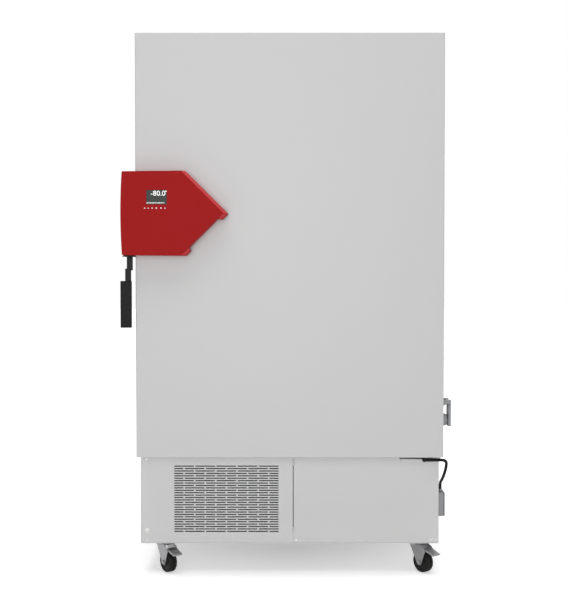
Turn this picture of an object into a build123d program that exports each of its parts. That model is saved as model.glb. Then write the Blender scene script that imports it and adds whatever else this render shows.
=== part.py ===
from build123d import *
import os
from math import cos, pi, radians, sin

os.makedirs("parts", exist_ok=True)

# Upright ultra low temperature freezer on four castors.
# Millimetres. X runs to the right, the door looks towards -Y, and Z is up from the floor.

# Overall sizes
cabinet_width = 1102
overall_height = 1968
cabinet_depth = 790
door_depth = 98
door_gap = 12
housing_proud = 52
bumper_depth = 25
castor_height = 115
base_height = 319
casing_drop = 6

# Sheet thicknesses and general clearances
sheet = 1.5
base_plate = 3
panel_gap = 0.5
soft_gap = 0.3
pin_gap = 0.05
slide_gap = 0.3

# Cold chamber
chamber_width = 850
chamber_height = 1290
chamber_depth = 600
floor_wall = 105
liner_corner = 26
frame_depth = 45
recess_depth = 38
recess_lap = 22
casing_flange = 30
vacuum_thickness = 22
shelf_count = 3
door_rows = shelf_count + 1

# Places that follow from the overall sizes, from front to back and from the floor up
half_width = cabinet_width / 2
total_depth = housing_proud + door_depth + door_gap + cabinet_depth + bumper_depth
housing_front = -total_depth / 2
door_front = housing_front + housing_proud
door_back = door_front + door_depth
front = door_back + door_gap
back = front + cabinet_depth
casing_bottom = castor_height + base_height
casing_top = overall_height - casing_drop
base_top_of_plate = castor_height + base_plate
chamber_floor = casing_bottom + floor_wall
chamber_top = chamber_floor + chamber_height
chamber_front = front + frame_depth
chamber_back = chamber_front + chamber_depth
recess_step = front + recess_depth
half_chamber = chamber_width / 2
half_recess = half_chamber + recess_lap
recess_bottom = chamber_floor - recess_lap
recess_top = chamber_top + recess_lap
liner_half = half_chamber + sheet
liner_back = chamber_back + sheet

# Main door hinge
hinge_inset = 16
hinge_x = half_width - hinge_inset
hinge_setback = 48.5
hinge_y = door_front + hinge_setback
door_bottom = casing_bottom + 20
door_top = overall_height
hinge_plate = 5
hinge_plate_left = 401
hinge_plate_drop = 13
hinge_plate_reach = 10
hinge_pin = 8
hinge_collar = 12
bush_length = 24
hinge_pocket = 18
hinge_plate_rise = 3
hinge_leaf = 16
door_sheet = 1.2
door_return = 18
door_edge = 4

# Gasket of the main door
gasket_margin = 8
gasket_width = 30
gasket_corner = 20

# Inner doors
inner_thickness = 28
inner_setback = 6
inner_gap = 8
inner_edge_gap = 4
inner_pin = 3
inner_knuckle = 5.5
inner_knuckle_height = 20
inner_pin_reach = 14
inner_bracket = 3
inner_seal = 12

# Instrument housing on the door
housing_left = -596
housing_tip = -218
housing_top = 1474.5
housing_bottom = 1176
housing_tip_z = 1325
housing_wall = 3
housing_wrap = 44.5
housing_corner = 9
grip_recess = 18
grip_start = 21
grip_end = 16
near_lean = 3
far_lean = 5
bevel = 16
bevel_depth = 8
display_left = -504.5
display_width = 72
display_bottom = 1356
display_height = 51
display_glass = 3
display_lip = 4

# Door handle and latch
lever_pivot_y = door_front + 31.5
lever_pivot_z = 1200
lever_pin = 4
lever_hub = 11
stem_right = -561
stem_width = 20
stem_thickness = 12
stem_offset = 32
stem_jog = 6
stem_jog_z = 1125
grip_width = 37
grip_depth = 30
grip_top = 1087
grip_length = 167
grip_right = -566
tang_length = 45
collar_plate = 6
keeper_z = 1212
keeper_setback = 20
keeper_stud = 5
keeper_reach = 34
hook_width = 14

# Side access port
port_setback = 90
port_height = 23
port_bore = 14
port_tube_radius = 18
port_collar = 23
port_plate = 3
port_reach = 38
port_flap_gap = 7.6
port_flap_thickness = 10
port_flap_width = 48
port_flap_bottom = -23
port_pivot_rise = 69
port_pin = 2.5

# Door cable and its junction box
cable_diameter = 11
cable_exit_x = 486
cable_box_front = 20
cable_box_depth = 60
cable_box_bottom = 211
cable_box_height = 88
cable_box_reach = 26.5
cable_gland_height = 9

# Vented front panel and rear panel
seam_x = 14
seam_wide = 2.5
seam_low = 166
seam_high = 415
panel_return = 10
slot_length = 72.5
slot_height = 4.5
slot_pitch = 78.3
row_pitch = 8.98
louvre_rows = 28
louvre_left = -427
louvre_top = 404
vent_knuckle = 3.2
vent_pin = 1.5
vent_knuckle_height = 10

# Castors
castor_x = 476
castor_inset_front = 62.5
castor_inset_rear = 70
wheel_radius = 40
wheel_width = 32
wheel_trail = 38
kingpin = 10
castor_plate_thickness = 4
fork_sheet = 3
fork_top = 12
axle = 4
front_turn = -53
rear_turn = 70
pedal_pivot = (60, 88)
pedal_pin = 3
pedal_length = 50
pedal_slope = 17

# Machinery in the base
condenser_depth = 60
filter_depth = 12
fan_radius = 108
fan_centre_x = -234
fan_centre_z = 283
compressor_radius = 78
compressor_shoulder = 130


def span(x, y, z, mode=Mode.ADD):
    """Put in, or take away, a box that fills the pairs x, y and z."""
    with Locations(((x[0] + x[1]) / 2, (y[0] + y[1]) / 2, (z[0] + z[1]) / 2)):
        Box(x[1] - x[0], y[1] - y[0], z[1] - z[0], mode=mode)


def rod_x(radius, x, y, z, mode=Mode.ADD):
    """Put in, or take away, a round bar along X at height z and depth y."""
    with Locations(Location(((x[0] + x[1]) / 2, y, z), (0, 90, 0))):
        Cylinder(radius, x[1] - x[0], mode=mode)


def rod_y(radius, x, y, z, mode=Mode.ADD):
    """Put in, or take away, a round bar along Y at place x and height z."""
    with Locations(Location((x, (y[0] + y[1]) / 2, z), (90, 0, 0))):
        Cylinder(radius, y[1] - y[0], mode=mode)


def rod_z(radius, x, y, z, mode=Mode.ADD):
    """Put in, or take away, an upright round bar between the heights in z."""
    with Locations((x, y, (z[0] + z[1]) / 2)):
        Cylinder(radius, z[1] - z[0], mode=mode)


def both(half):
    """The pair that runs the same way to the left and to the right."""
    return (-half, half)


def rounded_rear(half, low_y, high_y, corner, height):
    """A rectangle at one height, square towards the door and rounded at its rear corners."""
    with BuildSketch(Plane.XY.offset(height)) as outline:
        with Locations((0, (low_y + high_y) / 2)):
            Rectangle(2 * half, high_y - low_y)
        fillet(outline.vertices().group_by(Axis.Y)[-1], corner)
    return outline.sketch


def save(piece, name):
    """Name a finished piece and write it to its own file."""
    piece.part.label = name
    export_step(piece.part, f"parts/{name}.step")


# Insulated cabinet: outer casing, liner, plastic frame round the mouth
port_y = front + port_setback
port_z = chamber_floor + port_height
coil_front = chamber_front + 111
coil_thickness = 8
coil_height = 14
coil_riser_step = 24
coil_passes = 5
coil_start = chamber_floor + 130
coil_pitch = 250
coil_end = casing_bottom - 30
coil_out = liner_half + coil_thickness

with BuildPart() as outer_casing:
    span(both(half_width), (front, back), (casing_bottom, casing_top))
    span(
        both(half_width - sheet),
        (front + sheet, back - sheet),
        (casing_bottom + sheet, casing_top - sheet),
        Mode.SUBTRACT,
    )
    span(
        both(half_width - casing_flange),
        (front, front + sheet),
        (casing_bottom + casing_flange, casing_top - casing_flange),
        Mode.SUBTRACT,
    )
    rod_x(port_tube_radius, (half_width - sheet, half_width), port_y, port_z, Mode.SUBTRACT)
    for side, step in ((-1, 0), (1, coil_riser_step)):
        middle = side * (liner_half + coil_thickness / 2)
        span(
            (middle - coil_thickness / 2, middle + coil_thickness / 2),
            (coil_front - step - coil_height / 2, coil_front - step + coil_height / 2),
            (casing_bottom, casing_bottom + sheet),
            Mode.SUBTRACT,
        )
save(outer_casing, "outer_casing")

with BuildPart() as inner_liner:
    liner_base = chamber_floor - sheet
    extrude(
        rounded_rear(liner_half, chamber_front, liner_back, liner_corner, liner_base),
        amount=chamber_height + 2 * sheet,
    )
    extrude(
        rounded_rear(half_chamber, chamber_front, chamber_back, liner_corner - sheet, chamber_floor),
        amount=chamber_height,
        mode=Mode.SUBTRACT,
    )
    rod_x(port_tube_radius, (half_chamber, liner_half), port_y, port_z, Mode.SUBTRACT)
save(inner_liner, "inner_liner")

with BuildPart() as breaker_frame:
    span(
        both(half_width - casing_flange),
        (front, chamber_front),
        (casing_bottom + casing_flange, casing_top - casing_flange),
    )
    span(both(half_recess), (front, recess_step), (recess_bottom, recess_top), Mode.SUBTRACT)
    span(both(half_chamber), (recess_step, chamber_front), (chamber_floor, chamber_top), Mode.SUBTRACT)
save(breaker_frame, "breaker_frame")

# Evaporator: a flattened tube laid round three sides of the liner, pass over pass
with BuildPart() as evaporator_coil:
    for level in range(coil_passes):
        with BuildSketch(Plane.XY.offset(coil_start + level * coil_pitch - coil_height / 2)):
            with Locations((0, (coil_front + liner_back + coil_thickness) / 2)):
                Rectangle(2 * coil_out, liner_back + coil_thickness - coil_front)
            with Locations((0, (coil_front + liner_back) / 2)):
                Rectangle(2 * liner_half, liner_back - coil_front, mode=Mode.SUBTRACT)
        extrude(amount=coil_height)
    for level in range(coil_passes - 1):
        side = 1 if level % 2 == 0 else -1
        low = coil_start + level * coil_pitch - coil_height / 2
        middle = side * (liner_half + coil_thickness / 2)
        span(
            (middle - coil_thickness / 2, middle + coil_thickness / 2),
            (coil_front - coil_height / 2, coil_front + coil_height / 2),
            (low, low + coil_pitch + coil_height),
        )
    for side, step, top in ((-1, 0, 0), (1, coil_riser_step, coil_passes - 1)):
        middle = side * (liner_half + coil_thickness / 2)
        riser_top = coil_start + top * coil_pitch + coil_height / 2
        span(
            (middle - coil_thickness / 2, middle + coil_thickness / 2),
            (coil_front - step - coil_height / 2, coil_front - step + coil_height / 2),
            (coil_end, riser_top),
        )
        span(
            (middle - coil_thickness / 2, middle + coil_thickness / 2),
            (coil_front - step, coil_front + coil_height / 2),
            (riser_top - coil_height, riser_top),
        )
save(evaporator_coil, "evaporator_coil")

# Vacuum panels stand against the inside of the casing
vacuum_front = port_y + port_tube_radius + 30
vacuum_low = chamber_floor - 20
vacuum_high = chamber_top + 50
vacuum_back_half = half_width - sheet - vacuum_thickness - 20
with BuildPart() as vacuum_panels:
    for side in (-1, 1):
        edges_x = sorted((side * (half_width - sheet), side * (half_width - sheet - vacuum_thickness)))
        span(edges_x, (vacuum_front, back - 60), (vacuum_low, vacuum_high))
    span(
        both(vacuum_back_half),
        (back - sheet - vacuum_thickness, back - sheet),
        (vacuum_low, vacuum_high),
    )
    span(
        both(vacuum_back_half),
        (vacuum_front, back - 60),
        (casing_top - sheet - vacuum_thickness, casing_top - sheet),
    )
    span(
        both(half_chamber - 25),
        (vacuum_front, back - 60),
        (casing_bottom + sheet, casing_bottom + sheet + vacuum_thickness),
    )
save(vacuum_panels, "vacuum_panels")

with BuildPart() as foam_insulation:
    span(
        both(half_width - sheet),
        (front + sheet, back - sheet),
        (casing_bottom + sheet, casing_top - sheet),
    )
    span(
        both(half_width - casing_flange),
        (front, chamber_front),
        (casing_bottom + casing_flange, casing_top - casing_flange),
        Mode.SUBTRACT,
    )
    extrude(
        rounded_rear(liner_half, chamber_front, liner_back, liner_corner, liner_base),
        amount=chamber_height + 2 * sheet,
        mode=Mode.SUBTRACT,
    )
    add(vacuum_panels.part, mode=Mode.SUBTRACT)
    add(evaporator_coil.part, mode=Mode.SUBTRACT)
    rod_x(port_tube_radius, (half_chamber, half_width), port_y, port_z, Mode.SUBTRACT)
save(foam_insulation, "foam_insulation")

# Racks and shelves inside the chamber
track_thickness = 4
track_width = 20
clip_depth = 10
clip_height = 8
shelf_lip = 18
shelf_thickness = 2
door_pitch = (recess_top - recess_bottom) / door_rows
track_places = (chamber_front + 90, chamber_back - 90)
shelf_levels = [recess_bottom + door_pitch * (row + 1) for row in range(shelf_count)]

with BuildPart() as shelf_tracks:
    for side in (-1, 1):
        for track_y in track_places:
            wall = side * half_chamber
            inner = side * (half_chamber - track_thickness)
            tip = side * (half_chamber - track_thickness - clip_depth)
            span(sorted((wall, inner)), (track_y - track_width / 2, track_y + track_width / 2),
                 (chamber_floor + 10, chamber_top - 10))
            for level in shelf_levels:
                span(sorted((inner, tip)), (track_y - track_width / 2, track_y + track_width / 2),
                     (level - clip_height, level))
save(shelf_tracks, "shelf_tracks")

shelf_half = half_chamber - track_thickness - 1
with BuildPart() as shelves:
    for level in shelf_levels:
        with BuildSketch(Plane.YZ.offset(-shelf_half)):
            with BuildLine():
                Polyline(
                    (recess_step, level + shelf_thickness),
                    (chamber_back - 10, level + shelf_thickness),
                    (chamber_back - 10, level - shelf_lip / 2),
                    (chamber_back - 10 - shelf_thickness, level - shelf_lip / 2),
                    (chamber_back - 10 - shelf_thickness, level),
                    (recess_step + shelf_thickness, level),
                    (recess_step + shelf_thickness, level - shelf_lip),
                    (recess_step, level - shelf_lip),
                    close=True,
                )
            make_face()
        extrude(amount=2 * shelf_half)
save(shelves, "shelves")

# Inner doors, each hung at its right edge inside the frame
inner_door_half = half_recess - inner_edge_gap
inner_front = front + inner_setback
inner_back = inner_front + inner_thickness
inner_hinge_x = inner_door_half - 3
inner_hinge_y = inner_front - 1.5
bracket_levels = [recess_bottom + door_pitch * row for row in range(door_rows + 1)]
bracket_levels[0] += inner_gap / 2
bracket_levels[-1] -= inner_gap / 2

with BuildPart() as inner_door_hinges:
    for row, level in enumerate(bracket_levels):
        span(
            (inner_hinge_x - inner_knuckle, half_recess),
            (inner_hinge_y - inner_knuckle, inner_hinge_y + inner_knuckle + 12),
            (level - inner_bracket / 2, level + inner_bracket / 2),
        )
        pin_low = level - (inner_pin_reach if row else 0)
        pin_high = level + (inner_pin_reach if row < door_rows else 0)
        rod_z(inner_pin, inner_hinge_x, inner_hinge_y, (pin_low, pin_high))
save(inner_door_hinges, "inner_door_hinges")

inner_pull_width = 90
inner_pull_reach = 9
for row in range(door_rows):
    low = bracket_levels[row] + inner_gap / 2
    high = bracket_levels[row + 1] - inner_gap / 2
    pull_x = -inner_door_half + 60
    pull_z = (low + high) / 2
    with BuildPart() as inner_door:
        span(both(inner_door_half), (inner_front, inner_back), (low, high))
        fillet(inner_door.edges().filter_by(Axis.Z).group_by(Axis.X)[0], radius=3)
        for end in (low, high - inner_knuckle_height):
            rod_z(inner_knuckle, inner_hinge_x, inner_hinge_y, (end, end + inner_knuckle_height))
            rod_z(inner_pin + pin_gap, inner_hinge_x, inner_hinge_y, (end, end + inner_knuckle_height),
                  Mode.SUBTRACT)
        with BuildSketch(Plane.XZ.offset(-inner_back)):
            with Locations((-2, pull_z)):
                Rectangle(2 * half_chamber + 20, high - low - 4)
                Rectangle(2 * half_chamber + 20 - 2 * inner_seal, high - low - 4 - 2 * inner_seal,
                          mode=Mode.SUBTRACT)
        extrude(amount=-(recess_step - soft_gap - inner_back))
        span((pull_x - 5, pull_x + 5), (inner_front - inner_pull_reach, inner_front),
             (pull_z - inner_pull_width / 2, pull_z + inner_pull_width / 2))
    save(inner_door, f"inner_door_{row + 1}")

# Main door: skin, foam core, inner panel, gasket and the two pivots
pocket_left = hinge_plate_left - 6
pocket_front = hinge_y - 2 * hinge_collar
pocket_floor = door_top - hinge_pocket
plate_front = hinge_y - hinge_plate_reach
plate_right = hinge_x + hinge_plate_reach
low_plate_top = door_bottom - hinge_plate_drop
high_plate_low = pocket_floor + hinge_plate_rise

with BuildPart() as door_skin:
    span(both(half_width), (door_front, door_back), (door_bottom, door_top))
    front_edges = door_skin.edges().filter_by(Axis.Z).group_by(Axis.Y)[0]
    fillet(front_edges, radius=door_edge)
    span((pocket_left, half_width), (pocket_front, door_back), (pocket_floor, door_top), Mode.SUBTRACT)
    span(
        both(half_width - door_sheet),
        (door_front + door_sheet, door_back - door_sheet),
        (door_bottom + door_sheet, pocket_floor - door_sheet),
        Mode.SUBTRACT,
    )
    span(
        (-half_width + door_sheet, pocket_left - door_sheet),
        (door_front + door_sheet, door_back - door_sheet),
        (pocket_floor - door_sheet, door_top - door_sheet),
        Mode.SUBTRACT,
    )
    span(
        (pocket_left - door_sheet, half_width - door_sheet),
        (door_front + door_sheet, pocket_front - door_sheet),
        (pocket_floor - door_sheet, door_top - door_sheet),
        Mode.SUBTRACT,
    )
    span(
        both(half_width - door_return),
        (door_back - door_sheet, door_back),
        (door_bottom + door_return, pocket_floor - door_return),
        Mode.SUBTRACT,
    )
    for end in (door_bottom, pocket_floor - door_sheet):
        rod_z(hinge_collar, hinge_x, hinge_y, (end, end + door_sheet), Mode.SUBTRACT)
save(door_skin, "door_skin")

panel_sheet = 2
panel_rise = 6
with BuildPart() as door_insulation:
    span(
        both(half_width - door_sheet),
        (door_front + door_sheet, door_back - door_sheet),
        (door_bottom + door_sheet, pocket_floor - door_sheet),
    )
    span(
        (-half_width + door_sheet, pocket_left - door_sheet),
        (door_front + door_sheet, door_back - door_sheet),
        (pocket_floor - door_sheet, door_top - door_sheet),
    )
    span(
        (pocket_left - door_sheet, half_width - door_sheet),
        (door_front + door_sheet, pocket_front - door_sheet),
        (pocket_floor - door_sheet, door_top - door_sheet),
    )
    span(
        both(half_width - door_return),
        (door_back - panel_sheet, door_back),
        (door_bottom + door_return, pocket_floor - door_return),
        Mode.SUBTRACT,
    )
    for end in (door_bottom + door_sheet, pocket_floor - bush_length):
        rod_z(hinge_collar, hinge_x, hinge_y, (end, end + bush_length - door_sheet), Mode.SUBTRACT)
save(door_insulation, "door_insulation")

with BuildPart() as door_inner_panel:
    span(
        both(half_width - door_return),
        (door_back - panel_sheet, door_back),
        (door_bottom + door_return, pocket_floor - door_return),
    )
    with BuildSketch(Plane.XZ.offset(-door_back)):
        with Locations((0, (recess_bottom + recess_top) / 2)):
            Rectangle(2 * half_recess - 34, recess_top - recess_bottom - 34)
    extrude(amount=-panel_rise, taper=25)
save(door_inner_panel, "door_inner_panel")

with BuildPart() as hinge_bushes:
    for end in (door_bottom, pocket_floor - bush_length):
        rod_z(hinge_collar, hinge_x, hinge_y, (end, end + bush_length))
        rod_z(hinge_pin + pin_gap, hinge_x, hinge_y, (end, end + bush_length), Mode.SUBTRACT)
save(hinge_bushes, "hinge_bushes")

with BuildPart() as hinge_brackets:
    for plate_low, leaf, collar, pin in (
        (
            low_plate_top - hinge_plate,
            (casing_bottom + 1, door_bottom - 2),
            (low_plate_top, door_bottom),
            (low_plate_top, door_bottom + bush_length - 2),
        ),
        (
            high_plate_low,
            (high_plate_low + hinge_plate - hinge_leaf - 6, high_plate_low + hinge_plate),
            (high_plate_low - 2, high_plate_low),
            (pocket_floor - bush_length + 2, high_plate_low),
        ),
    ):
        span((hinge_plate_left, plate_right), (front - hinge_plate, front), leaf)
        span((hinge_plate_left, plate_right), (plate_front, front), (plate_low, plate_low + hinge_plate))
        fillet(
            hinge_brackets.edges().filter_by(Axis.Z).filter_by_position(Axis.Y, plate_front - 1,
                                                                        plate_front + 1),
            radius=9,
        )
        rod_z(hinge_collar, hinge_x, hinge_y, collar)
        rod_z(hinge_pin, hinge_x, hinge_y, pin)
save(hinge_brackets, "hinge_brackets")

with BuildPart() as door_gasket:
    with BuildSketch(Plane.XZ.offset(-door_back)):
        with Locations((0, (recess_bottom + recess_top) / 2)):
            seal_half = half_recess + gasket_margin
            seal_height = recess_top - recess_bottom + 2 * gasket_margin
            RectangleRounded(2 * (seal_half + gasket_width), seal_height + 2 * gasket_width, gasket_corner)
            Rectangle(2 * seal_half, seal_height, mode=Mode.SUBTRACT)
    extrude(amount=-(door_gap - soft_gap))
save(door_gasket, "door_gasket")

# Instrument housing: an arrow-shaped shell with a finger recess along its lower slope
tip = (housing_tip, housing_tip_z)
slope_top = housing_top - housing_tip_z
slope_foot = housing_tip_z - housing_bottom
recess_near = (housing_tip - grip_start, housing_tip_z - grip_start)
recess_far = (housing_tip - slope_foot + grip_end, housing_bottom + grip_end)
side_bulge = 5
with BuildSketch(Plane.XZ.offset(-door_front)) as housing_outline:
    with BuildLine():
        Polyline(
            (housing_left + side_bulge, housing_bottom + 2),
            (housing_tip - slope_foot, housing_bottom),
            recess_far,
            (recess_far[0] - far_lean, recess_far[1] + grip_recess - far_lean),
            (recess_near[0] - grip_recess + near_lean, recess_near[1] + near_lean),
            recess_near,
            tip,
            (housing_tip - slope_top, housing_top),
            (housing_left + side_bulge, housing_top - 2),
        )
        ThreePointArc(
            (housing_left + side_bulge, housing_top - 2),
            (housing_left, housing_tip_z),
            (housing_left + side_bulge, housing_bottom + 2),
        )
    make_face()
    corners = housing_outline.vertices()
    across = corners.sort_by(Axis.X)
    fillet(across[:2] + across[-1:] + corners.sort_by(Axis.Y)[-1:], radius=housing_corner)

front_rounding = 3
with BuildPart() as instrument_housing:
    extrude(housing_outline.sketch, amount=housing_proud)
    fillet(instrument_housing.faces().sort_by(Axis.Y)[0].edges(), radius=front_rounding)
    for rise in (1, -1):
        edge_plane = Plane(
            origin=(housing_tip + bevel, housing_front, housing_tip_z - rise * bevel),
            x_dir=(1, 0, rise),
            z_dir=(-1, 0, rise),
        )
        # The bevel runs from nothing inside the face to its full depth at the outline
        deep = bevel_depth if rise == 1 else -bevel_depth
        with BuildSketch(edge_plane) as slope_cut:
            with BuildLine():
                Polyline((-bevel, 0), (bevel, 2 * deep), (bevel, -deep), (-bevel, -deep), close=True)
            make_face()
        extrude(slope_cut.sketch, amount=(slope_top + 2 * bevel) * 1.5, mode=Mode.SUBTRACT)
    extrude(housing_outline.sketch, amount=-housing_wrap)
    span((-half_width, housing_tip + bevel), (door_front, door_front + housing_wrap),
         (housing_bottom - bevel, housing_top + bevel), Mode.SUBTRACT)
    with BuildSketch(Plane.XZ.offset(-door_front)) as hollow:
        add(housing_outline.sketch)
        offset(amount=-housing_wall, mode=Mode.REPLACE)
    extrude(hollow.sketch, amount=housing_proud - housing_wall - bevel_depth, mode=Mode.SUBTRACT)
    extrude(hollow.sketch, amount=-housing_wrap, mode=Mode.SUBTRACT)
    span(
        (display_left, display_left + display_width),
        (housing_front, housing_front + display_lip),
        (display_bottom, display_bottom + display_height),
        Mode.SUBTRACT,
    )
    span(
        (stem_right - stem_width - 7, stem_right + 7),
        (lever_pivot_y - 75, lever_pivot_y + housing_wrap),
        (housing_bottom - 2, housing_bottom + 2 * housing_wall),
        Mode.SUBTRACT,
    )
save(instrument_housing, "instrument_housing")

with BuildPart() as display_screen:
    span(
        (display_left, display_left + display_width),
        (housing_front + display_lip - display_glass, housing_front + display_lip),
        (display_bottom, display_bottom + display_height),
    )
save(display_screen, "display_screen")

# Handle: a bearing block under the housing, a lever with its latch hook, and a moulded grip
stem_left = stem_right - stem_width
stem_y = lever_pivot_y - stem_offset
cheek = 5
collar_left = stem_left - 10
collar_right = -half_width - 1
with BuildPart() as handle_collar:
    span((collar_left, collar_right), (lever_pivot_y - 75, lever_pivot_y + 11),
         (housing_bottom - collar_plate / 2, housing_bottom))
    span((collar_left + 4, stem_right + 4), (lever_pivot_y - 75, lever_pivot_y + 11),
         (housing_bottom, housing_bottom + collar_plate / 2))
    span(
        (stem_left - 1, stem_right + 1),
        (stem_y - stem_thickness / 2 - 30, stem_y + stem_thickness / 2 + 2),
        (housing_bottom - collar_plate, housing_bottom + collar_plate),
        Mode.SUBTRACT,
    )
    for cheek_left in (collar_left + 4.5, stem_right + 2):
        with BuildSketch(Plane.YZ.offset(cheek_left)):
            with Locations((lever_pivot_y, lever_pivot_z)):
                Circle(lever_hub)
            with Locations((lever_pivot_y, (housing_bottom + lever_pivot_z) / 2)):
                Rectangle(2 * lever_hub, lever_pivot_z - housing_bottom)
        extrude(amount=cheek - 1)
    rod_x(lever_pin, (collar_left + 4.5, stem_right + 1 + cheek), lever_pivot_y, lever_pivot_z)
save(handle_collar, "handle_collar")

keeper_y = front + keeper_setback
hook_left = (stem_left + stem_right - hook_width) / 2
hook_tip = keeper_y + 14
lip_top = keeper_z - keeper_stud - slide_gap
with BuildPart() as handle_lever:
    with BuildSketch(Plane.YZ.offset(stem_left)):
        with Locations((lever_pivot_y, lever_pivot_z)):
            Circle(lever_hub)
        with Locations((stem_y, lever_pivot_z - 8)):
            Circle(stem_thickness / 2)
        make_hull()
        with Locations((stem_y, (lever_pivot_z - 8 + stem_jog_z) / 2)):
            Rectangle(stem_thickness, lever_pivot_z - 8 - stem_jog_z)
    extrude(amount=stem_width)
    span(
        (stem_left - stem_jog, stem_right - stem_jog),
        (stem_y - stem_thickness / 2, stem_y + stem_thickness / 2),
        (grip_top, stem_jog_z + stem_jog),
    )
    span(
        (grip_right - (grip_width + stem_thickness) / 2, grip_right - (grip_width - stem_thickness) / 2),
        (stem_y - stem_thickness / 3, stem_y + stem_thickness / 3),
        (grip_top - tang_length, grip_top),
    )
    with BuildSketch(Plane.YZ.offset(hook_left)):
        with BuildLine():
            Polyline(
                (lever_pivot_y, lever_pivot_z - 8),
                (hook_tip, lever_pivot_z - 8),
                (hook_tip, lip_top - 1.5),
                (hook_tip - 1.5, lip_top),
                (keeper_y + 7, lip_top),
                (keeper_y + 4, lip_top - 4),
                (keeper_y - 10, lip_top - 4),
                (lever_pivot_y, lip_top - 2),
                close=True,
            )
        make_face()
    extrude(amount=hook_width)
    rod_x(lever_pin + pin_gap, (stem_left, stem_right), lever_pivot_y, lever_pivot_z, Mode.SUBTRACT)
save(handle_lever, "handle_lever")

with BuildPart() as handle_grip:
    with BuildSketch(Plane.YZ.offset(grip_right - grip_width)):
        with Locations((stem_y, grip_top - grip_length / 2)):
            Rectangle(grip_depth, grip_length)
    extrude(amount=grip_width)
    chamfer(handle_grip.edges().filter_by(Axis.X), length=7)
    chamfer(handle_grip.faces().sort_by(Axis.X)[0].edges(), length=3)
    chamfer(handle_grip.faces().sort_by(Axis.X)[-1].edges(), length=3)
    span(
        (grip_right - (grip_width + stem_thickness) / 2, grip_right - (grip_width - stem_thickness) / 2),
        (stem_y - stem_thickness / 3, stem_y + stem_thickness / 3),
        (grip_top - tang_length, grip_top),
        Mode.SUBTRACT,
    )
save(handle_grip, "handle_grip")

with BuildPart() as latch_keeper:
    span((-half_width - port_plate, -half_width), (keeper_y - 18, keeper_y + 18),
         (keeper_z - 22, keeper_z + 24))
    rod_x(keeper_stud, (-half_width - keeper_reach - port_plate, -half_width - port_plate), keeper_y, keeper_z)
    rod_x(keeper_stud + 3, (-half_width - keeper_reach - 2 * port_plate, -half_width - keeper_reach - port_plate),
          keeper_y, keeper_z)
save(latch_keeper, "latch_keeper")

# Access port in the right wall, with a hanging cover
port_face = half_width + port_reach
flap_inner = port_face + port_flap_gap
flap_outer = flap_inner + port_flap_thickness
port_pivot_x = flap_inner + 0.5
port_pivot_z = port_z + port_pivot_rise
port_ear = 5
port_knuckle = 8
ear_inner = port_flap_width / 2 + 2
with BuildPart() as port_tube:
    rod_x(port_tube_radius, (half_chamber, half_width + port_plate), port_y, port_z)
    rod_x(port_collar, (half_width + port_plate, port_face), port_y, port_z)
    with BuildSketch(Plane.YZ.offset(half_width)):
        with Locations((port_y, (port_z + port_pivot_z) / 2)):
            RectangleRounded(2 * (ear_inner + port_ear), port_pivot_z - port_z + 60, 5)
    extrude(amount=port_plate)
    for low in (port_y - ear_inner - port_ear, port_y + ear_inner):
        with BuildSketch(Plane.XZ.offset(-low)):
            with BuildLine():
                Polyline(
                    (half_width + port_plate, port_pivot_z - 26),
                    (port_pivot_x - port_knuckle, port_pivot_z - 7),
                    (flap_outer - 1, port_pivot_z - 7),
                    (flap_outer - 1, port_pivot_z + 9),
                    (half_width + port_plate, port_pivot_z + 9),
                    close=True,
                )
            make_face()
        extrude(amount=-port_ear)
    rod_y(port_pin, port_pivot_x, (port_y - ear_inner, port_y + ear_inner), port_pivot_z)
    rod_x(port_bore, (half_chamber, port_face), port_y, port_z, Mode.SUBTRACT)
save(port_tube, "port_tube")

with BuildPart() as port_plug:
    rod_x(port_bore, (half_width - 90, port_face), port_y, port_z)
    rod_x(port_collar - 3, (port_face, port_face + 5), port_y, port_z)
save(port_plug, "port_plug")

with BuildPart() as port_flap:
    with BuildSketch(Plane.YZ.offset(flap_inner)):
        with Locations((port_y, (port_z + port_flap_bottom + port_pivot_z - port_knuckle - 1) / 2)):
            RectangleRounded(port_flap_width, port_pivot_z - port_knuckle - 1 - port_z - port_flap_bottom, 4)
    extrude(amount=port_flap_thickness)
    span((flap_inner, flap_inner + port_flap_thickness - 1.5),
         (port_y - port_flap_width / 2 + 4, port_y + port_flap_width / 2 - 4),
         (port_pivot_z - port_knuckle - 10, port_pivot_z))
    rod_y(port_knuckle, port_pivot_x, (port_y - port_flap_width / 2, port_y + port_flap_width / 2),
          port_pivot_z)
    rod_y(port_pin + pin_gap, port_pivot_x, (port_y - port_flap_width / 2, port_y + port_flap_width / 2),
          port_pivot_z, Mode.SUBTRACT)
save(port_flap, "port_flap")

# Cable between the door and the base, and the junction box that it ends in
cable_y = door_front + 21.5
cable_z = casing_bottom + 7
elbow_width = 12
cable_start = cable_exit_x + 4
cable_box_y = front + cable_box_front + cable_box_depth / 2
cable_box_top = cable_box_bottom + cable_box_height
cable_box_x = half_width + cable_box_reach / 2
cable_route = [
    (cable_start, cable_y, cable_z),
    (cable_start + 38, cable_y, cable_z),
    (cable_start + 75, cable_y + 1, cable_z + 0.5),
    (cable_start + 76, cable_y + 12, cable_z - 28),
    (cable_start + 72, cable_y + 36, cable_z - 60),
    (cable_start + 70, cable_y + 72, cable_z - 86),
    (cable_start + 71.5, cable_y + 110, cable_z - 100),
    (cable_box_x, cable_box_y, cable_box_top + 26),
    (cable_box_x, cable_box_y, cable_box_top + cable_gland_height),
]


def bend_radii(route):
    """The largest arcs that the runs beside each corner leave room for."""
    radii = []
    for before, corner, after in zip(route, route[1:], route[2:]):
        inward = Vector(*corner) - Vector(*before)
        outward = Vector(*after) - Vector(*corner)
        turn = radians(inward.get_angle(outward))
        radii.append(0.45 * min(inward.length, outward.length) * cos(turn / 2) / sin(turn / 2))
    return radii


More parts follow.
